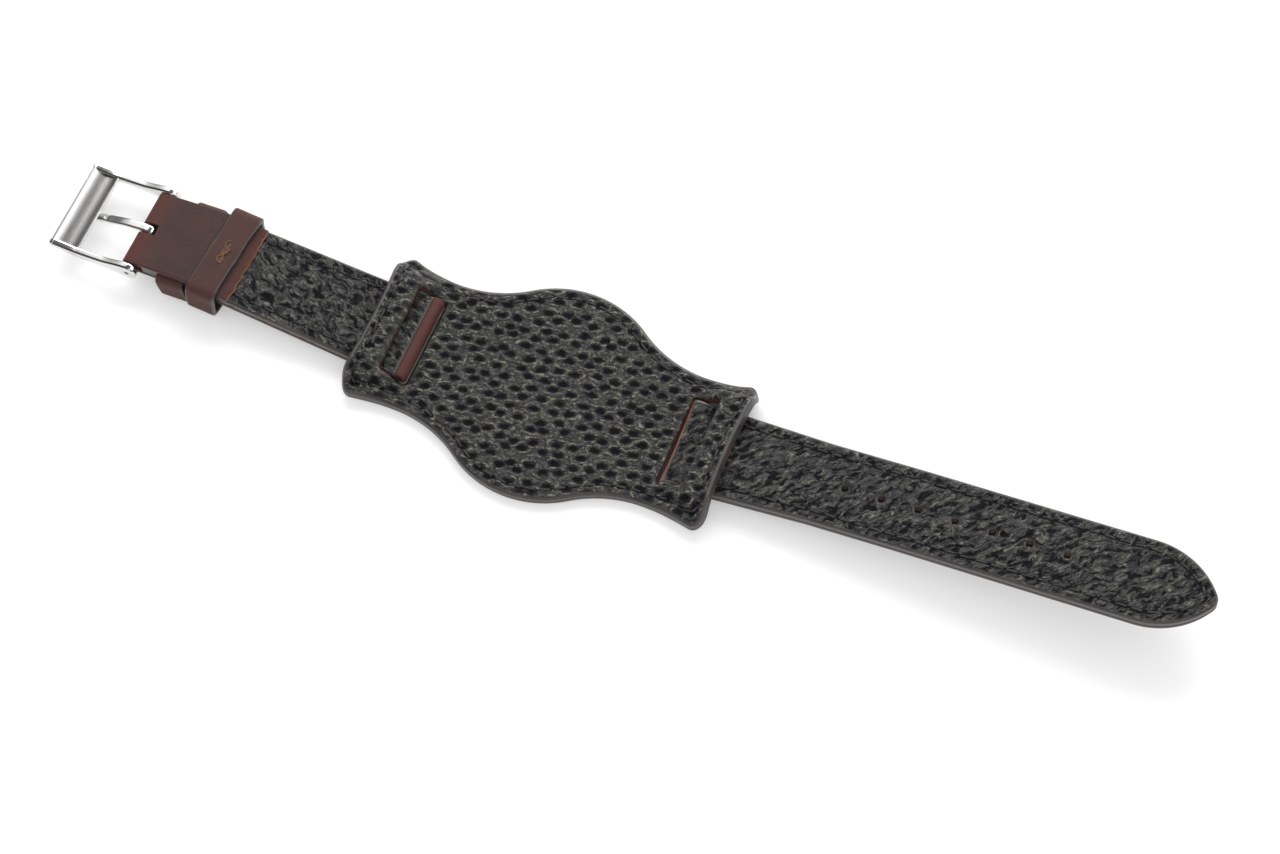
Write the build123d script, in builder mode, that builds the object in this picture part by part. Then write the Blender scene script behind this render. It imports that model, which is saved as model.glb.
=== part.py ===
from build123d import *
import os
from math import cos, radians, sin, sqrt

os.makedirs("parts", exist_ok=True)

# A leather watch strap in two pieces, threaded through the windows of a wide wrist pad.
# The wrist side faces up. X runs along the strap to the tip of the tail, Y runs across it,
# and the origin is the middle of the pad's outer face, where the watch case sits.
# All lengths are millimetres and all angles are degrees.

# Strap leather
lug_width = 20.0
buckle_width = 18.0
leather = 1.1
filler_thickness = 0.8
lining_thickness = 1.2
flap_leather = 1.0

# Nose of each strap piece, folded round the bore for the watch's own spring bar
watch_bar_radius = 0.9
nose_radius = 1.6
nose_fold = 2.6
buckle_nose_inset = 1.75
tail_nose_inset = 2.3

# Route of the buckle piece: heights of its underside at chosen distances from its nose
buckle_nose_height = 1.95
buckle_dip_run = 6.7
buckle_dip_height = 0.9
buckle_crest_run = 49.3
buckle_crest_height = 5.2
pin_run = 64.0
pin_height = 3.66
dip_bend_radius = 20.0
crest_bend_radius = 9.0
core_to_pin = 2.6
flap_run = 40.3
lining_run = 47.5

# Route of the tail piece, which also swings a little to one side of the pad
tail_nose_height = 0.5
tail_bend_run = 50.0
tail_bend_height = 6.2
tail_length = 113.2
tail_tip_height = 12.0
tail_bend_radius = 300.0
tail_taper_run = 30.0
tail_swing = 2.2
tip_length = 15.0
tip_round = 2.2

# Adjustment holes
hole_count = 7
hole_pitch = 7.8
hole_radius = 0.95
last_hole_to_tip = 31.0

# Wrist pad
pad_length = 84.4
pad_width = 49.6
pad_layer = 1.3
bulge_radius = 23.0
waist_radius = 22.0
waist_half_width = 16.2
ear_half_width = 16.3
ear_radius = 4.5
end_hollow = 1.0
end_bar = 6.3
window_length = 7.4
window_half_width = 10.75
window_corner = 0.8

# The pad's end bars arch over the strap and curl up at their outer edge, as do the ears
arch_rise = 4.9
arch_crown = 0.25
arch_top_half_width = 10.9
arch_foot_half_width = 15.2
arch_length = 15.0
arch_run_shares = (0.0, 0.2, 0.4, 0.6, 0.8, 1.06)
arch_rise_shares = (0.01, 0.12, 0.5, 0.95, 1.12, 1.4)
ear_lift = 1.6
ear_lift_shares = (0.0, 0.0, 0.04, 0.25, 0.6, 1.1)

# Keepers
keeper_leather = 1.1
keeper_width = 6.5
keeper_gap = 3.2
keeper_slack = 0.25
keeper_corner = 1.6
fixed_keeper_run = 53.75
free_keeper_run = 44.9
free_keeper_side_gap = 0.7
fixed_keeper_side_gap = 0.3

# Thread
thread = 0.45
thread_height = 0.22
thread_lift = 0.03
stitch_length = 2.2
stitch_pitch = 3.4
seam_inset = 2.3
join_stitches = 3
join_pitch = 1.5
join_length = 2.8

# Spring bar that carries the buckle
bar_radius = 0.9
bar_bore = 0.66
bar_crimp = 0.4
running_gap = 0.05
bar_end_gap = 0.3
tip_radius = 0.45
tip_shoulder = 3.0
tip_engagement = 1.15
spring_bore = 0.3

# Buckle frame, drawn from the spring bar's axis towards the front bar
frame_tilt = 3.0
frame_length = 18.9
arm_thickness = 1.4
arm_gap = 0.15
arm_end_radius = 2.1
arm_front_top = 1.3
arm_front_foot = 0.1
arm_top_shares = ((0.36, 0.42), (0.68, 0.3))
arm_foot_shares = ((0.68, -0.6), (0.36, -0.72))
front_bar_share = 0.265
front_bar_thickness = 0.9
front_bar_hollow = 0.8
inner_lip_height = 0.15
arm_edge_round = 0.25
arm_top_slope = 0.35
arm_foot_slope = 0.5

# Tongue
tongue_width = 1.9
tongue_thickness = 0.8
tongue_ring_radius = 1.65
tongue_share = 0.92
tongue_top_shares = ((0.26, 0.82), (0.55, 0.2), (0.78, -0.56), (1.0, -0.85))
tongue_tip_slope = 0.2
notch_side_gap = 0.35
notch_depth = 2.15

overrun = 5.0

# Sizes that follow from those above
strap_thickness = leather + filler_thickness + lining_thickness
fold_radius = (strap_thickness + flap_leather) / 2
half_pad_length = pad_length / 2
arch_start = half_pad_length - arch_length
window_outer = half_pad_length - end_bar
window_inner = window_outer - window_length
buckle_nose_x = window_inner + buckle_nose_inset
tail_nose_x = window_inner + tail_nose_inset
front_bar_width = frame_length * front_bar_share
tongue_length = frame_length * tongue_share
pad_thickness = pad_layer * 2
half_lug = lug_width / 2
flap_top = strap_thickness + flap_leather
lining_foot = leather + filler_thickness
half_buckle = buckle_width / 2


# Paths are lists of corners, with the distance from the nose first and the height second.

def runs_of(corners):
    """Unit directions of a path's straight runs."""
    return [(Vector(*end) - Vector(*start)).normalized() for start, end in zip(corners, corners[1:])]


def lefts_of(corners):
    """Unit vectors square to the runs, towards the wrist side."""
    return [Vector(-run.Y, run.X) for run in runs_of(corners)]


def parallel(corners, distance):
    """The path's corners, moved to the wrist side by a distance."""
    lefts = lefts_of(corners)
    moved = []
    for index, corner in enumerate(corners):
        before = lefts[max(index - 1, 0)]
        after = lefts[min(index, len(lefts) - 1)]
        mitre = (before + after) / (1 + before.dot(after))
        place = Vector(*corner) + mitre * distance
        moved.append((place.X, place.Y))
    return moved


def parallel_bends(corners, bends, distance):
    """Bend radii of the path after it has moved to the wrist side by a distance."""
    runs = runs_of(corners)
    turned = []
    for bend, before, after in zip(bends, runs, runs[1:]):
        side = 1 if before.cross(after).Z > 0 else -1
        turned.append(bend - side * distance)
    return turned


def cut_start(corners, distance):
    """The path without its first stretch."""
    first = Vector(*corners[0]) + runs_of(corners)[0] * distance
    return [(first.X, first.Y)] + corners[1:]


def cut_end(corners, distance):
    """The path without its last stretch."""
    last = Vector(*corners[-1]) - runs_of(corners)[-1] * distance
    return corners[:-1] + [(last.X, last.Y)]


def layer_face(side, corners, bends, low, high):
    """Side view of a leather layer between two distances from the path."""
    lower = parallel(corners, low)
    upper = parallel(corners, high)
    with BuildSketch(side) as face:
        with BuildLine():
            FilletPolyline(*lower, radius=parallel_bends(corners, bends, low))
            FilletPolyline(*upper, radius=parallel_bends(corners, bends, high))
            Line(lower[0], upper[0])
            Line(lower[-1], upper[-1])
        make_face()
    return face.sketch


def path_wire(side, corners, bends, distance):
    """The path as a wire, moved to the wrist side by a distance."""
    with BuildLine(side) as route:
        FilletPolyline(*parallel(corners, distance), radius=parallel_bends(corners, bends, distance))
    return route.wire()


def square_plane(side, corners, run_index, along, lift):
    """Plane across a straight run of a path, with its normal along the run, away from the nose."""
    run = runs_of(corners)[run_index]
    left = lefts_of(corners)[run_index]
    start = Vector(*corners[run_index])
    distance = (along - start.X) / run.X
    place = start + run * distance + left * lift
    normal = side.from_local_coords(Vector(*run)) - side.origin
    across = -side.z_dir if side.x_dir.X < 0 else side.z_dir
    return Plane(origin=side.from_local_coords(place), x_dir=across, z_dir=normal)


def stitch_planes(wire, outward, across, first, last, half_width, upward):
    """Planes of a row of stitches on a wire, which follow the strap's edge on both sides."""
    count = max(1, int((last - first) / stitch_pitch))
    planes = []
    for index in range(count + 1):
        distance = first + (last - first) * index / count
        share = distance / wire.length
        spot = wire @ share
        heading = wire % share
        normal = heading.cross(across) * upward
        normal = normal if normal.Z * upward > 0 else -normal
        reach = half_width((spot - outward.origin).dot(outward.x_dir)) - seam_inset
        for sign in (1, -1):
            base = spot + across * (sign * reach) + normal * thread_lift
            planes.append(Plane(origin=base, x_dir=heading, z_dir=normal))
    return planes


on_top = (Align.CENTER, Align.CENTER, Align.MIN)


def add_stitches(planes):
    """One short straight stitch on each plane."""
    for plane in planes:
        with Locations(plane.location):
            Box(stitch_length, thread, thread_height, align=on_top)


# Frames of reference of the two strap pieces: X points away from the nose
swing = radians(tail_swing)
buckle_side = Plane(origin=(-buckle_nose_x, 0, 0), x_dir=(-1, 0, 0), z_dir=(0, 1, 0))
buckle_plan = Plane(origin=(-buckle_nose_x, 0, 0), x_dir=(-1, 0, 0), z_dir=(0, 0, 1))
tail_run = (cos(swing), sin(swing), 0)
tail_side = Plane(origin=(tail_nose_x, 0, 0), x_dir=tail_run, z_dir=(sin(swing), -cos(swing), 0))
tail_plan = Plane(origin=(tail_nose_x, 0, 0), x_dir=tail_run, z_dir=(0, 0, 1))

buckle_path = [
    (0, buckle_nose_height),
    (buckle_dip_run, buckle_dip_height),
    (buckle_crest_run, buckle_crest_height),
    (pin_run, pin_height),
]
buckle_bends = [dip_bend_radius, crest_bend_radius]
tail_path = [(0, tail_nose_height), (tail_bend_run, tail_bend_height), (tail_length, tail_tip_height)]
tail_bends = [tail_bend_radius]

total_height = tail_tip_height + strap_thickness + overrun


def nose_plane(side, corners):
    """Plane of the side view, centred on the watch bar's bore and turned with the first run."""
    centre = Vector(*parallel(corners, nose_radius)[0])
    run = runs_of(corners)[0]
    return Plane(
        origin=side.from_local_coords(centre),
        x_dir=side.from_local_coords(Vector(*run)) - side.origin,
        z_dir=side.z_dir,
    )


buckle_nose = nose_plane(buckle_side, buckle_path)
tail_nose = nose_plane(tail_side, tail_path)

# Plan outline of the buckle piece
with BuildSketch(buckle_plan) as buckle_outline:
    with BuildLine():
        Polyline(
            (-nose_radius - overrun, half_lug),
            (0, half_lug),
            (pin_run, half_buckle),
            (pin_run + fold_radius + overrun, half_buckle),
            (pin_run + fold_radius + overrun, -half_buckle),
            (pin_run, -half_buckle),
            (0, -half_lug),
            (-nose_radius - overrun, -half_lug),
            close=True,
        )
    make_face()

# Notch in the fold at the spring bar, where the tongue turns
with BuildSketch(buckle_plan) as tongue_notch:
    with Locations((pin_run - notch_depth, 0)):
        Rectangle(
            notch_depth + fold_radius + overrun,
            tongue_width + notch_side_gap * 2,
            align=(Align.MIN, Align.CENTER),
        )

# Plan outline of the tail piece, with its pointed tip of two arcs
ogive_radius = (tip_length**2 + half_buckle**2) / (half_buckle * 2)
tip_start = tail_length - tip_length
tip_middle_drop = ogive_radius - sqrt(ogive_radius**2 - (tip_length / 2) ** 2)
with BuildSketch(tail_plan) as tail_outline:
    with BuildLine():
        Polyline(
            (tip_start, half_buckle),
            (tail_taper_run, half_buckle),
            (0, half_lug),
            (-nose_radius - overrun, half_lug),
            (-nose_radius - overrun, -half_lug),
            (0, -half_lug),
            (tail_taper_run, -half_buckle),
            (tip_start, -half_buckle),
        )
        for sign in (1, -1):
            ThreePointArc(
                (tip_start, sign * half_buckle),
                (tip_start + tip_length / 2, sign * (half_buckle - tip_middle_drop)),
                (tail_length, 0),
            )
    make_face()
    fillet(tail_outline.vertices().sort_by(Axis.X)[-1], radius=tip_round)

# Adjustment holes, seen from above
with BuildSketch(tail_plan) as tail_holes:
    for index in range(hole_count):
        with Locations((tail_length - last_hole_to_tip - index * hole_pitch, 0)):
            Circle(hole_radius)


def buckle_half_width(along):
    """Half the buckle piece's width at a distance from its nose."""
    return half_lug + (half_buckle - half_lug) * along / pin_run


def tail_half_width(along):
    """Half the tail's width at a distance from its nose."""
    return half_lug + (half_buckle - half_lug) * min(along / tail_taper_run, 1)


# Buckle piece: brown outer leather, folded round the watch bar's bore and round the buckle's
# spring bar, and glued back on the wrist side as a flap
pin_centre = Vector(*parallel(buckle_path, fold_radius)[-1])
pin_place = buckle_side.from_local_coords(pin_centre)
pin_side = Plane(origin=pin_place, x_dir=(-1, 0, 0), z_dir=(0, 1, 0))
flap_start = buckle_side.to_local_coords(square_plane(buckle_side, buckle_path, 1, flap_run, 0).origin)
flap_path = [(flap_start.X, flap_start.Y)] + buckle_path[2:]

with BuildPart() as buckle_strap_outer:
    extrude(layer_face(buckle_side, buckle_path, buckle_bends, 0, leather), amount=half_lug, both=True)
    extrude(
        layer_face(buckle_side, flap_path, buckle_bends[1:], strap_thickness, flap_top),
        amount=half_lug,
        both=True,
    )
    with BuildSketch(buckle_nose) as nose_fold_face:
        Circle(nose_radius)
        Rectangle(nose_fold, nose_radius * 2, align=(Align.MIN, Align.CENTER))
    extrude(amount=half_lug, both=True)
    with BuildSketch(pin_side) as pin_fold_face:
        Circle(fold_radius)
    extrude(amount=half_lug, both=True)
    with BuildSketch(buckle_nose) as nose_bore_face:
        Circle(watch_bar_radius)
    extrude(amount=half_lug + overrun, both=True, mode=Mode.SUBTRACT)
    with BuildSketch(pin_side) as pin_bore_face:
        Circle(bar_radius + running_gap)
    extrude(amount=half_lug + overrun, both=True, mode=Mode.SUBTRACT)
    extrude(tongue_notch.sketch, amount=total_height, mode=Mode.SUBTRACT)
    extrude(buckle_outline.sketch, amount=total_height, mode=Mode.INTERSECT)

core_path = cut_start(buckle_path, nose_fold)
filler_path = cut_end(core_path, core_to_pin)
lining_stop = buckle_side.to_local_coords(square_plane(buckle_side, buckle_path, 1, lining_run, 0).origin)
lining_path = core_path[:2] + [(lining_stop.X, lining_stop.Y)]

with BuildPart() as buckle_strap_filler:
    extrude(
        layer_face(buckle_side, filler_path, buckle_bends, leather, lining_foot),
        amount=half_lug,
        both=True,
    )
    extrude(buckle_outline.sketch, amount=total_height, mode=Mode.INTERSECT)

with BuildPart() as buckle_strap_lining:
    extrude(
        layer_face(buckle_side, lining_path, buckle_bends[:1], lining_foot, strap_thickness),
        amount=half_lug,
        both=True,
    )
    extrude(buckle_outline.sketch, amount=total_height, mode=Mode.INTERSECT)


# Tail piece: outer leather folded at the nose, filler and lining, all cut to the pointed outline
with BuildPart() as tail_strap_outer:
    extrude(layer_face(tail_side, tail_path, tail_bends, 0, leather), amount=half_lug, both=True)
    with BuildSketch(tail_nose) as tail_fold_face:
        Circle(nose_radius)
        Rectangle(nose_fold, nose_radius * 2, align=(Align.MIN, Align.CENTER))
    extrude(amount=half_lug, both=True)
    with BuildSketch(tail_nose) as tail_bore_face:
        Circle(watch_bar_radius)
    extrude(amount=half_lug + overrun, both=True, mode=Mode.SUBTRACT)
    extrude(tail_holes.sketch, amount=total_height, mode=Mode.SUBTRACT)
    extrude(tail_outline.sketch, amount=total_height, mode=Mode.INTERSECT)

tail_core_path = cut_start(tail_path, nose_fold)

with BuildPart() as tail_strap_filler:
    extrude(
        layer_face(tail_side, tail_core_path, tail_bends, leather, lining_foot),
        amount=half_lug,
        both=True,
    )
    extrude(tail_holes.sketch, amount=total_height, mode=Mode.SUBTRACT)
    extrude(tail_outline.sketch, amount=total_height, mode=Mode.INTERSECT)

with BuildPart() as tail_strap_lining:
    extrude(
        layer_face(tail_side, tail_core_path, tail_bends, lining_foot, strap_thickness),
        amount=half_lug,
        both=True,
    )
    extrude(tail_holes.sketch, amount=total_height, mode=Mode.SUBTRACT)
    extrude(tail_outline.sketch, amount=total_height, mode=Mode.INTERSECT)

# Wrist pad outline: a round bulge in the middle, a waist on each side and an ear at each corner
bulge_centre = pad_width / 2 - bulge_radius
waist_centre_rise = waist_half_width + waist_radius - bulge_centre
waist_x = sqrt((bulge_radius + waist_radius) ** 2 - waist_centre_rise**2)


def pad_quarter(inset):
    """Bulge, waist and ear of one quarter of the pad's outline, as points with arc middles."""
    bulge = bulge_radius - inset
    waist = waist_radius + inset
    share = bulge / (bulge + waist)
    joint = Vector(waist_x * share, bulge_centre + waist_centre_rise * share)
    bulge_hub = Vector(0, bulge_centre)
    waist_hub = Vector(waist_x, bulge_centre + waist_centre_rise)
    crown = bulge_hub + Vector(0, bulge)
    low = waist_hub - Vector(0, waist)
    bulge_middle = bulge_hub + ((crown - bulge_hub) + (joint - bulge_hub)).normalized() * bulge
    waist_middle = waist_hub + ((low - waist_hub) + (joint - waist_hub)).normalized() * waist
    return crown, bulge_middle, joint, waist_middle, low


crown, bulge_middle, joint, waist_middle, low = pad_quarter(0)
with BuildSketch() as pad_outline:
    with BuildLine():
        for side in (1, -1):
            for end in (1, -1):
                ThreePointArc(*[(end * spot.X, side * spot.Y) for spot in (crown, bulge_middle, joint)])
                ThreePointArc(*[(end * spot.X, side * spot.Y) for spot in (joint, waist_middle, low)])
                Line((end * low.X, side * low.Y), (end * half_pad_length, side * ear_half_width))
        for end in (1, -1):
            ThreePointArc(
                (end * half_pad_length, ear_half_width),
                (end * (half_pad_length - end_hollow), 0),
                (end * half_pad_length, -ear_half_width),
            )
    make_face()
    fillet(pad_outline.vertices().group_by(Axis.X)[-1], radius=ear_radius)
    fillet(pad_outline.vertices().group_by(Axis.X)[0], radius=ear_radius)

with BuildSketch() as pad_windows:
    for end in (1, -1):
        with Locations((end * (window_inner + window_outer) / 2, 0)):
            RectangleRounded(window_length, window_half_width * 2, window_corner)

pad_reach = ear_half_width + overrun


def arch_section(x, rise, lift, low, high):
    """Section across the pad at one X: level at the edges, and arched over the strap between them."""
    foot = (arch_top_half_width + arch_foot_half_width) / 2
    with BuildSketch(Plane.YZ.offset(x)) as section_face:
        with BuildLine():
            for base in (low, high):
                level, top = base + lift, base + rise
                for side in (1, -1):
                    Line((side * pad_reach, level), (side * arch_foot_half_width, level))
                    Bezier(
                        (side * arch_foot_half_width, level),
                        (side * foot, level),
                        (side * foot, top),
                        (side * arch_top_half_width, top),
                    )
                Bezier(
                    (arch_top_half_width, top),
                    (0, top + arch_crown * 2 * rise / arch_rise),
                    (-arch_top_half_width, top),
                )
            for side in (1, -1):
                Line((side * pad_reach, low + lift), (side * pad_reach, high + lift))
        make_face()
    return section_face.sketch


def arch_sections(end, low, high):
    """Sections from the flat middle to one end, with the rise eased in."""
    return [
        arch_section(
            end * (arch_start + run * arch_length), rise * arch_rise, lift * ear_lift, low, high
        )
        for run, rise, lift in zip(arch_run_shares, arch_rise_shares, ear_lift_shares)
    ]


with BuildPart() as pad_outer:
    with BuildSketch() as outer_middle:
        Rectangle(arch_start * 2, pad_width + overrun)
    extrude(amount=pad_layer)
    loft(arch_sections(1, 0, pad_layer), ruled=True)
    loft(arch_sections(-1, 0, pad_layer), ruled=True)
    extrude(pad_windows.sketch, amount=total_height, mode=Mode.SUBTRACT)
    extrude(pad_outline.sketch, amount=total_height, mode=Mode.INTERSECT)

with BuildPart() as pad_lining:
    with BuildSketch(Plane.XY.offset(pad_layer)) as lining_middle:
        Rectangle(arch_start * 2, pad_width + overrun)
    extrude(amount=pad_layer)
    loft(arch_sections(1, pad_layer, pad_thickness), ruled=True)
    loft(arch_sections(-1, pad_layer, pad_thickness), ruled=True)
    extrude(pad_windows.sketch, amount=total_height, mode=Mode.SUBTRACT)
    extrude(pad_outline.sketch, amount=total_height, mode=Mode.INTERSECT)

# Keepers: the fixed one is caught under the flap, the free one goes round everything
fixed_plane = square_plane(buckle_side, buckle_path, 2, fixed_keeper_run, 0)
free_plane = square_plane(buckle_side, buckle_path, 1, free_keeper_run, 0)


def keeper_face(plane, half_inside, low, high):
    """Ring section of a keeper between two heights over the strap's underside."""
    middle = (low + high) / 2
    with BuildSketch(plane) as ring:
        with Locations((0, middle)):
            RectangleRounded(
                (half_inside + keeper_leather) * 2,
                high - low + keeper_leather * 2,
                keeper_corner,
            )
            RectangleRounded(
                half_inside * 2,
                high - low,
                keeper_corner - keeper_leather,
                mode=Mode.SUBTRACT,
            )
    return ring.sketch


fixed_half_inside = buckle_half_width(fixed_keeper_run) + fixed_keeper_side_gap
with BuildPart() as fixed_keeper:
    extrude(
        keeper_face(fixed_plane, fixed_half_inside, -keeper_gap, strap_thickness - keeper_leather),
        amount=keeper_width / 2,
        both=True,
    )

free_half_inside = buckle_half_width(free_keeper_run) + free_keeper_side_gap
free_top = flap_top + keeper_slack
with BuildPart() as free_keeper:
    extrude(
        keeper_face(free_plane, free_half_inside, -keeper_gap, free_top),
        amount=keeper_width / 2,
        both=True,
    )

# Thread that joins the free keeper's two ends on the wrist side
join_height = free_top + keeper_leather + thread_lift
join_plane = square_plane(buckle_side, buckle_path, 1, free_keeper_run, join_height)
with BuildPart() as free_keeper_stitch:
    top_plane = Plane(origin=join_plane.origin, x_dir=join_plane.z_dir, z_dir=join_plane.y_dir)
    with BuildSketch(top_plane) as join_face:
        with GridLocations(0, join_pitch, 1, join_stitches):
            SlotOverall(join_length, thread)
    extrude(amount=thread_height)

# Spring bar: a tube with a sprung plunger at each end
tube_half = half_buckle - bar_end_gap
tip_end = half_buckle + arm_gap + tip_engagement
shoulder_start = tube_half - bar_crimp - running_gap
with BuildPart() as spring_bar_tube:
    with BuildSketch(pin_side) as tube_face:
        Circle(bar_radius)
    extrude(amount=tube_half, both=True)
    with BuildSketch(pin_side) as tube_bore_face:
        Circle(bar_bore)
    extrude(amount=tube_half - bar_crimp, both=True, mode=Mode.SUBTRACT)
    with BuildSketch(pin_side) as crimp_face:
        Circle(tip_radius + running_gap)
    extrude(amount=tube_half, both=True, mode=Mode.SUBTRACT)


def plunger(side):
    """One sprung tip: a shoulder inside the tube and a neck that reaches into the buckle's arm."""
    with BuildPart() as tip:
        with BuildSketch(pin_side.offset(side * (shoulder_start - tip_shoulder))) as shoulder_face:
            Circle(bar_bore - running_gap)
        extrude(amount=side * tip_shoulder)
        with BuildSketch(pin_side.offset(side * shoulder_start)) as neck_face:
            Circle(tip_radius)
        extrude(amount=side * (tip_end - shoulder_start))
    return tip


spring_bar_tip_far = plunger(1)
spring_bar_tip_near = plunger(-1)
with BuildPart() as spring_bar_spring:
    with BuildSketch(pin_side) as spring_face:
        Circle(bar_bore - running_gap * 2)
        Circle(spring_bore, mode=Mode.SUBTRACT)
    extrude(amount=shoulder_start - tip_shoulder, both=True)

# Buckle frame: two arms, drilled for the spring bar's tips, and a hollow front bar
tilt = radians(frame_tilt)
frame_side = Plane(origin=pin_place, x_dir=(-cos(tilt), 0, -sin(tilt)), z_dir=(0, 1, 0))
arm_inside = half_buckle + arm_gap
arm_outside = arm_inside + arm_thickness
lip_x = frame_length - front_bar_width
hollow_x = frame_length - front_bar_width / 2
hollow_y = inner_lip_height - front_bar_hollow / 2
with BuildSketch(frame_side) as arm_face:
    with BuildLine():
        arm_top = Spline(
            (0, arm_end_radius),
            *[(frame_length * run, arm_end_radius * rise) for run, rise in arm_top_shares],
            (frame_length, arm_front_top),
            tangents=((1, 0), (1, arm_top_slope)),
        )
        arm_foot = Spline(
            (frame_length, arm_front_foot),
            *[(frame_length * run, arm_end_radius * rise) for run, rise in arm_foot_shares],
            (0, -arm_end_radius),
            tangents=((-1, -arm_foot_slope), (-1, 0)),
        )
        Line(arm_top @ 1, arm_foot @ 0)
        ThreePointArc((0, -arm_end_radius), (-arm_end_radius, 0), (0, arm_end_radius))
    make_face()

with BuildPart() as buckle_frame:
    extrude(arm_face.sketch, amount=arm_outside, both=True)
    extrude(arm_face.sketch, amount=arm_inside, both=True, mode=Mode.SUBTRACT)
    fillet(buckle_frame.edges().filter_by(GeomType.BSPLINE), radius=arm_edge_round)
    with BuildSketch(frame_side) as front_bar_face:
        with BuildLine():
            ThreePointArc((frame_length, arm_front_top), (hollow_x, hollow_y), (lip_x, inner_lip_height))
            Line((lip_x, inner_lip_height), (lip_x, inner_lip_height - front_bar_thickness / 2))
            ThreePointArc(
                (lip_x, inner_lip_height - front_bar_thickness / 2),
                (hollow_x, hollow_y - front_bar_thickness),
                (frame_length, arm_front_foot),
            )
            Line((frame_length, arm_front_foot), (frame_length, arm_front_top))
        make_face()
    extrude(amount=arm_outside, both=True)
    with BuildSketch(frame_side) as arm_hole_face:
        Circle(tip_radius + running_gap)
    extrude(amount=arm_outside + overrun, both=True, mode=Mode.SUBTRACT)

# Tongue: a ring on the spring bar and a strip that bows down under the front bar
with BuildSketch(frame_side) as tongue_face:
    with BuildLine():
        strip_top = [(0, tongue_ring_radius)] + [
            (tongue_length * run, tongue_ring_radius * rise) for run, rise in tongue_top_shares
        ]
        strip_foot = [(x, y - tongue_thickness) for x, y in strip_top]
        Spline(*strip_top, tangents=((1, 0), (1, -tongue_tip_slope)))
        Spline(*strip_foot, tangents=((1, 0), (1, -tongue_tip_slope)))
        Line(strip_top[0], strip_foot[0])
        Line(strip_top[-1], strip_foot[-1])
    make_face()
    Circle(tongue_ring_radius)
    Circle(bar_radius + running_gap, mode=Mode.SUBTRACT)
with BuildPart() as buckle_tongue:
    extrude(tongue_face.sketch, amount=tongue_width / 2, both=True)

# Stitching of the strap pieces, on both faces, two rows along the edges
buckle_top = path_wire(buckle_side, core_path, buckle_bends, strap_thickness)
buckle_foot = path_wire(buckle_side, core_path, buckle_bends, 0)
across = Vector(0, 1, 0)
with BuildPart() as buckle_strap_stitching:
    add_stitches(
        stitch_planes(
            buckle_top, buckle_side, across, stitch_length, flap_run - nose_fold - stitch_length,
            buckle_half_width, 1,
        )
        + stitch_planes(
            buckle_foot, buckle_side, across, stitch_length, flap_run, buckle_half_width, -1,
        )
    )

tail_top = path_wire(tail_side, tail_core_path, tail_bends, strap_thickness)
tail_foot = path_wire(tail_side, tail_core_path, tail_bends, 0)
tail_across = -tail_side.z_dir
tail_seam_end = tip_start - nose_fold
with BuildPart() as tail_strap_stitching:
    add_stitches(
        stitch_planes(tail_top, tail_side, tail_across, stitch_length, tail_seam_end, tail_half_width, 1)
        + stitch_planes(
            tail_foot, tail_side, tail_across, stitch_length, tail_seam_end, tail_half_width, -1,
        )
    )

# Stitching of the pad, round its bulge on the wrist side
seam_spots = pad_quarter(seam_inset)
with BuildPart() as pad_stitching:
    for side in (1, -1):
        for end in (1, -1):
            crown_spot, bulge_spot, joint_spot, waist_spot, low_spot = [
                Vector(end * spot.X, side * spot.Y, pad_thickness) for spot in seam_spots
            ]
            with BuildLine(mode=Mode.PRIVATE) as seam:
                ThreePointArc(crown_spot, bulge_spot, joint_spot)
                ThreePointArc(joint_spot, waist_spot, low_spot)
            route = seam.wire()
            count = int(route.length / stitch_pitch)
            for index in range(count):
                share = (index + 0.5) / count
                spot = (route @ share) + Vector(0, 0, thread_lift)
                if abs(spot.X) < arch_start - stitch_length / 2:
                    place = Plane(origin=spot, x_dir=route % share, z_dir=(0, 0, 1))
                    with Locations(place.location):
                        Box(stitch_length, thread, thread_height, align=on_top)

pieces = {
    "pad_outer": pad_outer,
    "pad_lining": pad_lining,
    "pad_stitching": pad_stitching,
    "buckle_strap_outer": buckle_strap_outer,
    "buckle_strap_filler": buckle_strap_filler,
    "buckle_strap_lining": buckle_strap_lining,
    "buckle_strap_stitching": buckle_strap_stitching,
    "tail_strap_outer": tail_strap_outer,
    "tail_strap_filler": tail_strap_filler,
    "tail_strap_lining": tail_strap_lining,
    "tail_strap_stitching": tail_strap_stitching,
    "fixed_keeper": fixed_keeper,
    "free_keeper": free_keeper,
    "free_keeper_stitch": free_keeper_stitch,
    "spring_bar_tube": spring_bar_tube,
    "spring_bar_spring": spring_bar_spring,
    "spring_bar_tip_far": spring_bar_tip_far,
    "spring_bar_tip_near": spring_bar_tip_near,
    "buckle_frame": buckle_frame,
    "buckle_tongue": buckle_tongue,
}
for piece_name, piece in pieces.items():
    piece.part.label = piece_name
    export_step(piece.part, f"parts/{piece_name}.step")
print("pin axis", pin_place, "tail bore", tail_nose.origin, "buckle bore", buckle_nose.origin)
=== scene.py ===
import math
from collections import namedtuple

import bmesh
import bpy
import numpy as np
from mathutils import Matrix, Vector, noise
from mathutils.geometry import delaunay_2d_cdt


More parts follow.
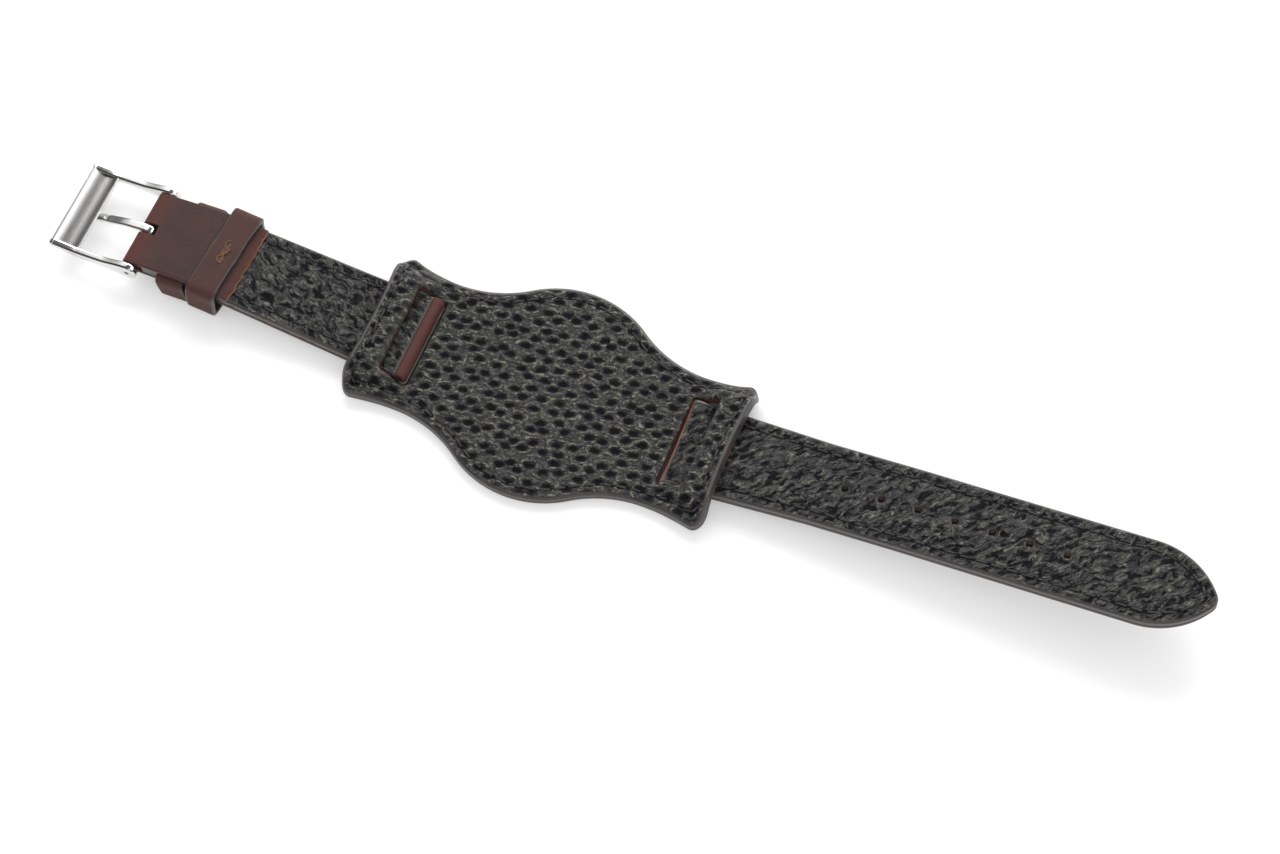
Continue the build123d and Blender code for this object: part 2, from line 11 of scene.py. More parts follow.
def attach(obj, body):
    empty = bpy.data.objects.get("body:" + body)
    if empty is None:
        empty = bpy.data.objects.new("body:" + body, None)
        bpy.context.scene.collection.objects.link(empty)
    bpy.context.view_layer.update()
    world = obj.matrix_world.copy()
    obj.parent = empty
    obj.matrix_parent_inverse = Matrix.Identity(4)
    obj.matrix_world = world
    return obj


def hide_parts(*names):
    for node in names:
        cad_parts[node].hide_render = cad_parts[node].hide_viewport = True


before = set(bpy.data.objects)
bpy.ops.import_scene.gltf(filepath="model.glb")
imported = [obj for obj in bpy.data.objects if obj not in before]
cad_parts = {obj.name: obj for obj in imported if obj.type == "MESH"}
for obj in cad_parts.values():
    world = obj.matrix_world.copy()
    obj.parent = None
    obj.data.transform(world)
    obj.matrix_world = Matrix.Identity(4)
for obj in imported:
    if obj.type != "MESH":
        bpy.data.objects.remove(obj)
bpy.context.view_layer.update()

bl_info = {
    "name": "Bund watch strap",
    "version": (1, 0, 0),
    "blender": (4, 5, 0),
    "location": "3D View > Sidebar > Strap",
    "description": "Dresses the strap's solids with leather, thread and polished steel",
    "category": "Object",
}

MM = 0.001
SEED = 7

# Sizes of the solids, in millimetres: heights are over the underside of a strap piece
LUG_HALF, BUCKLE_HALF = 10.0, 9.0
LEATHER, CORE_TOP, STRAP_TOP, FLAP_TOP = 1.1, 1.9, 3.1, 4.1
NOSE_RADIUS, NOSE_FOLD, BAR_BORE = 1.6, 2.6, 0.9
PIN_RUN, FLAP_RUN, LINING_RUN, CORE_RUN = 64.0, 40.3, 47.5, 61.4
TAIL_LENGTH, TAPER_RUN, TIP_LENGTH, TIP_ROUND = 113.2, 30.0, 15.0, 2.2
HOLE_RADIUS, HOLE_PITCH, HOLE_COUNT, HOLE_TO_TIP, HOLE_NARROWS = 0.66, 7.8, 7, 31.0, 0.6
FIXED_RUN, FREE_RUN, FREE_SHIFT, FREE_SLIDE = 53.75, 44.9, 1.0, 27.0
KEEPER_WIDTH, KEEPER_LEATHER, KEEPER_GAP = 6.5, 1.1, 3.2
KEEPER_CORNER, KEEPER_ROUND, KEEPER_SIDE_GAP, FREE_SLACK = 1.05, 0.32, 0.3, 0.25
PAD_HALF, PAD_LAYER, PAD_TOP = 42.2, 1.3, 2.6
BULGE, WAIST, WAIST_HALF, PAD_WIDTH = 23.0, 27.0, 15.8, 49.6
EAR_FLARE, EAR_HALF, EAR_ROUND, END_HOLLOW = 1.3, 16.6, 3.4, 1.0
WINDOW_IN, WINDOW_OUT, WINDOW_HALF, WINDOW_ROUND = 28.5, 34.7, 10.75, 0.8
ARCH_START, ARCH_LENGTH, ARCH_RISE, ARCH_CROWN = 27.2, 15.0, 4.9, 0.25
ARCH_TOP, ARCH_FOOT = 10.9, 17.0
ARCH_RUNS = (0.0, 0.2, 0.4, 0.6, 0.8, 1.06)
ARCH_RISES = (0.0, 0.18, 0.78, 1.02, 1.13, 1.4)
EAR_LIFT, EAR_LIFTS = 1.6, (0.0, 0.0, 0.04, 0.25, 0.6, 1.1)
BUCKLE_NOSE_BACK, TAIL_NOSE_BACK, TAIL_NOSE_TOP, TAIL_LIP = 0.45, 1.2, 2.75, -1.15
SEAM_INSET, LEDGE = 2.3, 0.5
FRAME_TILT, FRAME_LENGTH, BAR_WIDTH = 3.0, 18.9, 6.6
ARM_INSIDE, ARM_THICK, ARM_ROUND, TIP_HOLE = 9.15, 1.7, 2.1, 0.5
TONGUE_RING, TONGUE_BORE, TONGUE_HALF, TONGUE_THICK = 1.65, 0.95, 0.95, 0.8
KNOT_TURNS, KNOT_POINTS, KNOT_THREAD = 5.2, 90, 0.15
FIXED_SKEW, FREE_SKEW = 0.02, 0.06
PIN_BORE, NOTCH_LOW, NOTCH_HIGH = 0.95, (5.0, 1.3, 4.0), (2.15, 1.3, 5.0)
SEAM_START, SEAM_STEP, STITCH_DIP, STITCH_SINK, PAD_STITCH_SINK = 4.2, 0.5, 0.12, 0.0002, 0.00022
LEATHER_ROUND, FLAP_ROUND, ARM_EDGE, BAR_EDGE, TONGUE_EDGE = 0.25, 0.28, 0.42, 0.3, 0.2
CORE_MARGIN, CORE_CREASE, LEATHER_CREASE, STEEL_CREASE, ARC_HANDLE = 0.12, 40, 38, 50, 0.5523

# Route of each strap piece: where its nose is, corners of its underside and the bends in them
BUCKLE_START, BUCKLE_BENDS = -30.25, (20.0, 9.0)
BUCKLE_CORNERS = ((0, 1.95), (6.7, 0.9), (49.3, 5.2), (PIN_RUN, 3.66))
TAIL_START, TAIL_BENDS, SWING = 30.8, (300.0,), math.radians(2.2)
TAIL_CORNERS = ((0, 0.5), (50, 6.2), (TAIL_LENGTH, 12.0))
BEYOND, BEND_POINTS = 10, 13

# Mesh spacings in millimetres, and how many points are compared at a time
OUTLINE_STEP, PLAIN_STEP, UNDER_STEP, CORE_STEP = 0.45, 0.9, 0.7, 2.5
TAIL_UNDER_STEP, HIDDEN_STEP, KEEPER_STEP, CHUNK = 0.8, 1.5, 0.42, 2000

# Printed grain of each lining: how it lies, its cells against the pad's, and how dull it is
Skin = namedtuple("Skin", "turn length width depth unevenness pits wander seed gloss shine stretch")
PAD_SKIN = Skin(-14, 1.0, 1.0, 1.0, 0.45, 1.0, 0.0008, SEED, 0.5, 0.5, (420.0, 1700.0, 1.0))
TAIL_SKIN = Skin(-42, 1.1, 0.36, 1.0, 0.9, 0.0, 0.003, 23, 0.3, 0.85, (380.0, 1400.0, 1.0))
BUCKLE_SKIN = Skin(-20, 0.9, 0.45, 0.9, 0.95, 0.0, 0.004, 11, 0.3, 0.85, (500.0, 1200.0, 1.0))
LENS_SIZE = (0.58, 0.31, 1.0)

# Scales of the pores, creases and blotches of each finish, and its second colours
LINING_GRAIN, BROWN_GRAIN = (2300.0, 1100.0, 75.0), (3300.0, 900.0, 110.0)
PAINT_GRAIN, RAW_GRAIN = (1500.0, 420.0, 160.0), (2400.0, 1300.0, 200.0)
THREAD_GRAIN = (5200.0, 2600.0, 400.0)
MOTTLED, SCUFFED, WORN_PAINT = (0.075, 0.034, 0.028), (0.16, 0.085, 0.065), (0.066, 0.054, 0.05)
RAW_DARK, RAW_PALE, RAW_STAIN = (0.2, 0.075, 0.045), (0.42, 0.24, 0.15), (0.085, 0.036, 0.028)
WHITE = (1.0, 1.0, 1.0, 1.0)

# Finishes of the meshes, in the order of their faces' numbers
PAINTED_BROWN = ("brown_leather", "edge_paint")
PAINTED_CORE = ("raw_leather", "edge_paint")

# Camera of the photograph, in metres and degrees, and the studio
PHOTO_WIDTH, FOCAL_PIXELS, SENSOR = 1280, 2600, 36.0
CAMERA_PLACE, CAMERA_TURNS = (0.115294, -0.2019882, 0.4994431), (25.097, 65.841, -2.115)
FLOOR_HALF, FLOOR_LEVEL, FLOOR_GLOW, FILL = 3.0, -0.00004, 0.3, 0.78
LAMPS = (("key", (-0.2, 0.6, 0.6), 0.8, 0.5, 1.0), ("front", (0.3, -0.6, 0.7), 0.6, 0.4, 0.25))


def a_colour(label, description, default):
    return bpy.props.FloatVectorProperty(
        name=label, description=description, default=default, size=3, subtype="COLOR", min=0, max=1,
    )


def a_length(label, description, default):
    return bpy.props.FloatProperty(
        name=label, description=description, default=default, unit="LENGTH",
    )


class StrapLeather(bpy.types.PropertyGroup):
    """Grain and colours of the leathers."""

    pebble_length: a_length("Pit spacing", "Distance between pits in a row of the grain", 0.0042)
    pebble_width: a_length("Row spacing", "Distance between rows of the printed grain", 0.00235)
    pebble_depth: a_length("Pit depth", "Depth of the printed grain", 0.00036)
    grain_step: a_length("Grain step", "Spacing of the mesh that carries the grain", 0.00032)
    # Pit colour: darker than the flats, as painted shade in the pits
    lining: a_colour("Lining", "Colour of the black lining in its pits", (0.006, 0.006, 0.009))
    flat: a_colour("Flats", "Colour of the lining between its pits", (0.0115, 0.011, 0.016))
    # Ridge colour: real wear at the cut rim, and painted highlight on the pits' lips and wrinkle
    # strokes
    ridge: a_colour("Ridges", "Colour of the lining where it is rubbed", (0.31, 0.31, 0.24))
    brown: a_colour("Brown", "Colour of the smooth strap leather", (0.04, 0.02, 0.0185))
    russet: a_colour("Russet", "Colour of leather that is folded or pulled", (0.085, 0.026, 0.02))
    raw: a_colour("Raw edge", "Colour of a cut edge without paint", (0.33, 0.13, 0.065))
    paint: a_colour("Edge paint", "Colour of the painted edges", (0.036, 0.03, 0.032))


class StrapThread(bpy.types.PropertyGroup):
    """Sizes and colours of the thread."""

    length: a_length("Stitch length", "Length of one stitch that shows", 0.0023)
    pitch: a_length("Stitch pitch", "Distance from one stitch to the next", 0.0032)
    width: a_length("Thread width", "Thickness of the thread", 0.0005)
    black: a_colour("Black thread", "Colour of the seams", (0.012, 0.011, 0.012))
    brown: a_colour("Brown thread", "Colour of the knot on the free keeper", (0.15, 0.07, 0.04))


class StrapSteel(bpy.types.PropertyGroup):
    """Finish of the buckle."""

    steel: a_colour("Steel", "Colour of the polished steel", (0.63, 0.62, 0.61))


class StrapStage(bpy.types.PropertyGroup):
    """Floor and light."""

    floor: a_colour("Floor", "Colour of the floor", (0.76, 0.76, 0.76))
    lamp: bpy.props.FloatProperty(
        name="Lamp", description="Power of the large lamp in watts", default=5.0, min=0,
    )


# Node trees

class Maker:
    """Adds nodes to a tree and links them in one go."""

    def __init__(self, tree):
        self.tree = tree

    def feed(self, made, inputs):
        """Links or sets sockets of a node."""
        for key, value in inputs.items():
            if isinstance(value, bpy.types.Node):
                value = value.outputs[0]
            if isinstance(value, bpy.types.NodeSocket):
                self.tree.links.new(value, made.inputs[key])
            else:
                made.inputs[key].default_value = value
        return made

    def add(self, kind, inputs=None, **props):
        made = self.tree.nodes.new(kind)
        for key, value in props.items():
            setattr(made, key, value)
        return self.feed(made, inputs or {})

    def math(self, operation, first, second=0.0, clamp=False):
        return self.add(
            "ShaderNodeMath", {0: first, 1: second}, operation=operation, use_clamp=clamp,
        )

    def plus(self, first, second, clamp=False):
        return self.math("ADD", first, second, clamp)

    def minus(self, first, second, clamp=False):
        return self.math("SUBTRACT", first, second, clamp)

    def times(self, first, second, clamp=False):
        return self.math("MULTIPLY", first, second, clamp)

    def mix(self, share, first, second):
        made = self.add("ShaderNodeMix", {0: share, 6: first, 7: second}, data_type="RGBA")
        return made.outputs[2]

    def ramp(self, value, low, high, start=0.0, end=1.0):
        return self.add(
            "ShaderNodeMapRange", {0: value, 1: low, 2: high, 3: start, 4: end},
            interpolation_type="SMOOTHSTEP",
        )

    def noise(self, place, scale, detail, roughness=0.5, distortion=0.0, dimensions="3D"):
        return self.add("ShaderNodeTexNoise", {
            "Vector": place, "Scale": scale, "Detail": detail, "Roughness": roughness,
            "Distortion": distortion,
        }, noise_dimensions=dimensions)

    def vector(self, operation, first, second):
        return self.add("ShaderNodeVectorMath", {0: first, 1: second}, operation=operation)

    def scaled(self, first, scale):
        return self.add("ShaderNodeVectorMath", {0: first, "Scale": scale}, operation="SCALE")

    def turned(self, source, angle):
        return self.add(
            "ShaderNodeVectorRotate", {"Vector": source, "Angle": angle}, rotation_type="Z_AXIS",
        )

    def bump(self, height, strength, distance):
        return self.add(
            "ShaderNodeBump", {"Height": height, "Strength": strength, "Distance": distance},
        )

    def place(self, kind="Object"):
        return self.add("ShaderNodeTexCoord").outputs[kind]

    def attribute(self, name, output="Fac"):
        return self.add("ShaderNodeAttribute", attribute_name=name).outputs[output]

    def named(self, name, kind):
        made = self.add("GeometryNodeInputNamedAttribute", {"Name": name}, data_type=kind)
        return made.outputs[0]


def rgba(colour):
    return (*colour, 1.0)


def leather_values():
    return bpy.context.scene.strap_leather


def new_group(name, kind, inputs, outputs):
    """A node group with its sockets: its maker and its given sockets by name."""
    tree = bpy.data.node_groups.new(name, kind)
    for label, socket_kind, value in inputs:
        socket = tree.interface.new_socket(
            label, in_out="INPUT", socket_type="NodeSocket" + socket_kind,
        )
        if value is not None:
            socket.default_value = value
    for label, socket_kind in outputs:
        tree.interface.new_socket(label, in_out="OUTPUT", socket_type="NodeSocket" + socket_kind)
    maker = Maker(tree)
    given = maker.add("NodeGroupInput")
    return maker, {socket.name: socket for socket in given.outputs if socket.name}


def leather_grain_tree():
    """Fine pores and creases, as a height and a blotch mask."""
    maker, given = new_group(
        "leather_grain", "ShaderNodeTree",
        [("Place", "Vector", None), ("Pore scale", "Float", 2600.0),
         ("Crease scale", "Float", 500.0), ("Blotch scale", "Float", 90.0)],
        [("Height", "Float"), ("Blotch", "Float"), ("Fine", "Float")],
    )
    pores = maker.add(
        "ShaderNodeTexVoronoi", {"Vector": given["Place"], "Scale": given["Pore scale"]},
        feature="DISTANCE_TO_EDGE",
    )
    crease = maker.noise(given["Place"], given["Crease scale"], 6.0, 0.62, 0.6)
    blotch = maker.noise(given["Place"], given["Blotch scale"], 4.0, 0.55)
    height = maker.plus(maker.times(maker.ramp(pores, 0.0, 0.12), 0.35), crease)
    maker.add("NodeGroupOutput", {0: height, 1: maker.ramp(blotch, 0.3, 0.7), 2: crease})
    return maker.tree


def rim_wear_tree():
    """Mask of the worn rim, from the distance to the cut edge in millimetres."""
    maker, given = new_group(
        "rim_wear", "ShaderNodeTree",
        [("Edge", "Float", 9.0), ("Reach", "Float", 0.7), ("Noise", "Float", 0.5)],
        [("Wear", "Float")],
    )
    rim = maker.minus(1.0, maker.math("DIVIDE", given["Edge"], given["Reach"]), clamp=True)
    maker.add("NodeGroupOutput", {0: maker.times(rim, maker.ramp(given["Noise"], 0.3, 0.65), True)})
    return maker.tree


def tree_of(name, make):
    """The node group of that name, made when it is first asked for."""
    return bpy.data.node_groups.get(name) or make()


def new_finish(name, scales=None):
    """A material: its maker, its shader and, for given scales, the leather's grain."""
    made = bpy.data.materials.new(name)
    made.use_nodes = True
    made.node_tree.nodes.clear()
    maker = Maker(made.node_tree)
    shader = maker.add("ShaderNodeBsdfPrincipled")
    maker.add("ShaderNodeOutputMaterial", {0: shader})
    grain = scales and maker.add(
        "ShaderNodeGroup", dict(enumerate((maker.place(), *scales))),
        node_tree=tree_of("leather_grain", leather_grain_tree),
    )
    return maker, shader, grain


def worn_rim(maker, reach, fine):
    return maker.add(
        "ShaderNodeGroup", {0: maker.attribute("edge"), 1: reach, 2: fine},
        node_tree=tree_of("rim_wear", rim_wear_tree),
    )


def print_nodes(maker, plan, sizes, angle, unevenness, wander, seed):
    """Printed grain at a place: distance in a lens-shaped cell, wavy folds and broken patches."""
    place = plan
    for scale, reach in ((210.0, wander), (1000.0, 0.001)):
        warp = maker.noise(plan, scale, 2.0).outputs["Color"]
        pushed = maker.scaled(maker.vector("SUBTRACT", warp, (0.5, 0.5, 0.5)), reach)
        place = maker.vector("ADD", place, pushed)
    flat = maker.vector("MULTIPLY", place, (1.0, 1.0, 0.0))
    cells = maker.turned(maker.vector("DIVIDE", maker.turned(flat, angle), sizes), math.pi / 4)
    shifted = maker.vector("ADD", cells, seed)
    nearest = maker.add(
        "ShaderNodeTexVoronoi", {"Vector": shifted, "Scale": 1.0, "Randomness": unevenness},
        feature="F1", voronoi_dimensions="2D",
    )
    away = maker.vector("SUBTRACT", shifted, nearest.outputs["Position"])
    away = maker.vector("DIVIDE", maker.turned(away, -math.pi / 4), LENS_SIZE)
    lens = maker.add("ShaderNodeVectorMath", {0: away}, operation="LENGTH")
    folds = maker.noise(maker.turned(shifted, -math.pi / 4), 1.25, 3.0, 0.6, 0.5, "2D")
    breaks = maker.noise(shifted, 2.6, 4.0, 0.6, dimensions="2D")
    return lens.outputs["Value"], folds.outputs[0], breaks.outputs[0]


def make_lining(name, skin):
    """Black printed leather: duller pits with a darker colour as painted shade, smoother ground
    between them, lips and fine wrinkle strokes with a pale colour as painted highlight, a seam
    groove darkened as painted shade, and a rim worn paler.
    """
    leather = leather_values()
    maker, shader, grain = new_finish(name, LINING_GRAIN)
    fine = grain.outputs["Fine"]
    plan = maker.attribute("plan", "Vector")
    angle = math.radians(skin.turn)
    along = leather.pebble_length * skin.length / math.sqrt(2)
    sideways = leather.pebble_width * skin.width * math.sqrt(2)
    lens, folds, breaks = print_nodes(
        maker, plan, (along, sideways, 1.0), angle, skin.unevenness, skin.wander,
        (float(skin.seed), 0.0, 0.0),
    )
    drawn = maker.vector("MULTIPLY", maker.turned(plan, angle), skin.stretch)
    wrinkle = maker.noise(drawn, 1.0, 6.0, 0.66, 0.9).outputs[0]
    if skin.pits:
        raised = maker.ramp(lens, 0.15, 1.2)
        lip = maker.times(maker.ramp(lens, 0.9, 1.1), maker.ramp(lens, 1.12, 1.4, 1.0, 0.0))
        lip = maker.times(lip, maker.ramp(breaks, 0.44, 0.56))
    else:
        raised = maker.ramp(folds, 0.34, 0.6, 0.1, 1.0)
        lip = maker.times(maker.ramp(folds, 0.52, 0.64), maker.ramp(breaks, 0.44, 0.6))
    pressed = maker.ramp(maker.attribute("relief"), 0.0, 1.0, 0.25, 1.0)
    level = maker.plus(maker.times(maker.minus(raised, 0.6), pressed), 0.6)
    # Along the seam groove the colour goes down to the pit colour: painted shade in the groove
    from_seam = maker.math("ABSOLUTE", maker.minus(maker.attribute("rim"), SEAM_INSET))
    seam_shade = maker.ramp(from_seam, 0.12, 0.5, 0.85, 0.0)
    if not skin.pits:
        run = maker.add("ShaderNodeSeparateXYZ", {0: plan})
        seam_shade = maker.times(seam_shade, maker.ramp(run, 3.4 * MM, 4.4 * MM))
    level = maker.times(level, maker.minus(1.0, seam_shade))
    crossing = maker.math("ABSOLUTE", maker.minus(wrinkle, 0.5))
    stroke = maker.ramp(crossing, 0.004, 0.03, 1.0, 0.0)
    stroke = maker.times(maker.ramp(fine, 0.3, 0.6, 0.15, 0.7), stroke)
    # Pale ridge colour on the lips and wrinkle strokes is painted highlight; near the cut rim it is
    # real wear
    worn_and_lit = maker.times(lip, maker.ramp(wrinkle, 0.42, 0.56, 0.1, 0.95), clamp=True)
    worn_and_lit = maker.plus(worn_and_lit, maker.times(worn_rim(maker, 0.9, fine), 0.25), clamp=True)
    worn_and_lit = maker.plus(worn_and_lit, maker.times(stroke, maker.ramp(level, 0.35, 0.8)), clamp=True)
    # The pits get the darker lining colour: painted shade
    pit_shade_tone = maker.mix(maker.ramp(level, 0.1, 0.85), rgba(leather.lining), rgba(leather.flat))
    dull = maker.ramp(grain.outputs["Blotch"], 0.0, 1.0, skin.gloss, skin.gloss + 0.12)
    creases = maker.plus(maker.times(wrinkle, 1.8), maker.times(grain, 0.5))
    creases = maker.plus(creases, maker.times(lip, 0.5))
    maker.feed(shader, {
        "Base Color": maker.mix(worn_and_lit, pit_shade_tone, rgba(leather.ridge)),
        "Roughness": maker.minus(dull, maker.times(worn_and_lit, 0.1)),
        "Specular IOR Level": maker.ramp(level, 0.1, 0.8, skin.shine * 0.2, skin.shine),
        "Normal": maker.bump(creases, 1.0, (0.4 if skin.pits else 0.55) * MM),
    })


def make_brown():
    """Smooth strap leather, redder where it is pulled or worn."""
    leather = leather_values()
    maker, shader, grain = new_finish("brown_leather", BROWN_GRAIN)
    fine, blotch = grain.outputs["Fine"], grain.outputs["Blotch"]
    rim = maker.times(worn_rim(maker, 0.8, fine), 0.6)
    reddened = maker.plus(maker.attribute("pull"), rim, clamp=True)
    tone = maker.mix(maker.times(blotch, 0.7), rgba(leather.brown), rgba(MOTTLED))
    tone = maker.mix(reddened, tone, rgba(leather.russet))
    tone = maker.mix(maker.ramp(fine, 0.62, 0.75, 0.0, 0.35), tone, rgba(SCUFFED))
    maker.feed(shader, {
        "Base Color": tone, "Roughness": maker.ramp(blotch, 0.0, 1.0, 0.46, 0.6),
        "Specular IOR Level": 0.28, "Normal": maker.bump(grain, 0.7, 0.00012),
    })


def make_paint():
    """Glossy paint of the finished edges."""
    maker, shader, grain = new_finish("edge_paint", PAINT_GRAIN)
    blotch = grain.outputs["Blotch"]
    maker.feed(shader, {
        "Base Color": maker.mix(blotch, rgba(leather_values().paint), rgba(WORN_PAINT)),
        "Roughness": maker.ramp(blotch, 0, 1, 0.32, 0.45),
        "Coat Weight": 0.2, "Coat Roughness": 0.25,
        "Normal": maker.bump(grain.outputs["Fine"], 0.3, 0.0001),
    })


def make_raw():
    """Fibrous leather of a cut edge, stained in patches."""
    maker, shader, grain = new_finish("raw_leather", RAW_GRAIN)
    fine = grain.outputs["Fine"]
    tone = maker.mix(grain.outputs["Blotch"], rgba(leather_values().raw), rgba(RAW_DARK))
    tone = maker.mix(maker.ramp(fine, 0.5, 0.7, 0.0, 0.3), tone, rgba(RAW_PALE))
    stained = maker.add("ShaderNodeTexNoise", {"Scale": 260.0, "Detail": 2.0})
    tone = maker.mix(maker.ramp(stained, 0.42, 0.58, 0.0, 0.75), tone, rgba(RAW_STAIN))
    maker.feed(shader, {
        "Base Color": tone, "Roughness": 0.9, "Specular IOR Level": 0.2,
        "Normal": maker.bump(fine, 0.8, 0.0001),
    })


def make_thread(name, colour):
    """Waxed thread with paler fibres."""
    maker, shader, grain = new_finish(name, THREAD_GRAIN)
    pale = [min(1.0, part * 2.2 + 0.01) for part in colour]
    fibres = maker.ramp(grain.outputs["Fine"], 0.4, 0.65)
    maker.feed(shader, {
        "Base Color": maker.mix(fibres, rgba(colour), rgba(pale)), "Roughness": 0.5,
        "Sheen Weight": 0.1, "Normal": maker.bump(grain, 0.7, 0.00006),
    })


def make_steel(name, share, gloss, brushing):
    """Steel with fine marks of its brushing, at a share of the polished steel's colour, and half as
    bright as painted shade where its pull attribute is set.
    """
    steel = [part * share for part in bpy.context.scene.strap_steel.steel]
    maker, shader, _ = new_finish(name)
    place = maker.place()
    drawn = maker.add("ShaderNodeMapping", {"Vector": place, "Scale": (9000.0, 260.0, 9000.0)})
    streaks = maker.noise(drawn, 1.0, 3.0)
    cloud = maker.ramp(maker.noise(place, 260.0, 2.0), 0.35, 0.65)
    tone = maker.mix(cloud, rgba(steel), rgba([part * 0.93 for part in steel]))
    # Where pull is set, in the front bar's hollow and inner part, the colour is halved: painted
    # shade
    tone = maker.mix(maker.attribute("pull"), tone, rgba([part * 0.5 for part in steel]))
    maker.feed(shader, {
        "Base Color": tone,
        "Metallic": 1.0, "Roughness": maker.ramp(streaks, 0.3, 0.7, gloss, gloss + 0.07),
        "Normal": maker.bump(streaks, brushing, 0.00002),
    })


def materials():
    """Every finish of the strap, made once."""
    if "pebbled_lining" not in bpy.data.materials:
        thread = bpy.context.scene.strap_thread
        for name, skin in (("pebbled_lining", PAD_SKIN), ("tail_lining", TAIL_SKIN),
                           ("buckle_lining", BUCKLE_SKIN)):
            make_lining(name, skin)
        make_brown()
        make_paint()
        make_raw()
        make_thread("black_thread", thread.black)
        make_thread("brown_thread", thread.brown)
        for name, share, gloss, brushing in (
            ("polished_steel", 1.0, 0.1, 0.1), ("dull_steel", 0.3, 0.5, 0.3),
            ("brushed_steel", 1.0, 0.27, 0.5), ("turned_steel", 0.8, 0.24, 0.3),
        ):
            make_steel(name, share, gloss, brushing)
    return bpy.data.materials


# Shapes in plan: loops run anticlockwise round an outline and clockwise round a hole

def spaced(points, step, closed=True):
    """The same line with its points a step apart."""
    points = np.asarray(points, float)
    if closed:
        points = np.vstack([points, points[:1]])
    gaps = np.linalg.norm(np.diff(points, axis=0), axis=1)
    along = np.concatenate([[0], np.cumsum(gaps)])
    count = max(3, int(round(along[-1] / step)))
    spots = np.linspace(0, along[-1], count, endpoint=not closed)
    return np.column_stack([np.interp(spots, along, line) for line in points.T])


def left_normals(loop):
    before, after = np.roll(loop, 1, 0), np.roll(loop, -1, 0)
    lefts = []
    for run in (loop - before, after - loop):
        run = run / np.maximum(np.linalg.norm(run, axis=1, keepdims=True), 1e-9)
        lefts.append(np.stack([-run[:, 1], run[:, 0]], 1))
    total = lefts[0] + lefts[1]
    share = np.maximum(np.sum(lefts[0] * total, axis=1, keepdims=True), 0.35)
    return total / share


def inset(loop, distance):
    """The loop moved into the material."""
    return loop + left_normals(loop) * distance


def signed_area(loop):
    after = np.roll(loop, -1, 0)
    return 0.5 * np.sum(loop[:, 0] * after[:, 1] - loop[:, 1] * after[:, 0])


def facing(loop, anticlockwise):
    return loop if (signed_area(loop) > 0) == anticlockwise else loop[::-1].copy()


def arc(centre, radius, start, end, count):
    """Points of an arc between two angles in degrees."""
    angles = np.radians(np.linspace(start, end, count))
    return [(centre[0] + radius * math.cos(a), centre[1] + radius * math.sin(a)) for a in angles]


def rounded_box(centre, half, corner, count):
    """A rectangle with rounded corners, from its middle and its half sizes."""
    points = []
    for turn, (sx, sy) in enumerate(((1, 1), (-1, 1), (-1, -1), (1, -1))):
        hub = (centre[0] + sx * (half[0] - corner), centre[1] + sy * (half[1] - corner))
        points += arc(hub, corner, turn * 90, turn * 90 + 90, count)
    return np.array(points)


def mirrored(far, step):
    """A closed loop from its far side and the same side mirrored."""
    loop = np.concatenate([far, (far * (1, -1))[::-1]])
    return spaced(facing(loop, True), step)


def distance_to(points, loop):
    """Distance from each point to a closed loop."""
    run = np.roll(loop, -1, 0) - loop
    square = np.maximum((run**2).sum(1), 1e-12)
    out = np.empty(len(points))
    for low in range(0, len(points), CHUNK):
        some = points[low:low + CHUNK, None, :]
        share = np.clip(((some - loop) * run).sum(2) / square, 0, 1)
        gap = some - (loop + run * share[..., None])
        out[low:low + CHUNK] = np.sqrt((gap**2).sum(2).min(1))
    return out


def inside(points, loop):
    """Whether each point lies within a closed loop."""
    start, end = loop, np.roll(loop, -1, 0)
    rise = end[:, 1] - start[:, 1]
    rise = np.where(np.abs(rise) < 1e-12, 1e-12, rise)
    out = np.empty(len(points), bool)
    for low in range(0, len(points), CHUNK):
        x, y = points[low:low + CHUNK, 0:1], points[low:low + CHUNK, 1:2]
        spans = (start[:, 1] > y) != (end[:, 1] > y)
        cross = start[:, 0] + (y - start[:, 1]) / rise * (end[:, 0] - start[:, 0])
        out[low:low + CHUNK] = (spans & (x < cross)).sum(1) % 2 == 1
    return out


def within_all(points, loops):
    keep = inside(points, loops[0])
    for hole in loops[1:]:
        keep &= ~inside(points, hole)
    return keep


def sheet_mesh(loops, step):
    """Triangles that fill the first loop and leave the others open, with points a step apart."""
    low, high = loops[0].min(0), loops[0].max(0)
    rows = []
    for index, y in enumerate(np.arange(low[1], high[1], step * math.sqrt(3) / 2)):
        xs = np.arange(low[0] + (index % 2) * step / 2, high[0], step)
        rows.append(np.stack([xs, np.full(len(xs), y)], 1))
    grid = np.concatenate(rows)
    grid = grid[within_all(grid, loops)]
    near = np.min([distance_to(grid, loop) for loop in loops], axis=0)
    grid = grid[near > step * 0.6]
    rings = np.concatenate(loops)
    edges, first = [], 0
    for loop in loops:
        edges += [(first + i, first + (i + 1) % len(loop)) for i in range(len(loop))]
        first += len(loop)
    points = np.concatenate([rings, grid])
    made = delaunay_2d_cdt([Vector(spot) for spot in points], edges, [], 0, 1e-9)
    order = [origins[0] if origins else -1 for origins in made[3]]
    faces = np.array([[order[i] for i in face] for face in made[2]])
    faces = faces[(faces >= 0).all(1)]
    doubtful = (faces < len(rings)).all(1)
    keep = np.ones(len(faces), bool)
    keep[doubtful] = within_all(points[faces[doubtful]].mean(1), loops)
    return points, faces[keep], len(rings)


def smooth(low, high, value):
    share = np.clip((value - low) / (high - low), 0, 1)
    return share * share * (3 - 2 * share)


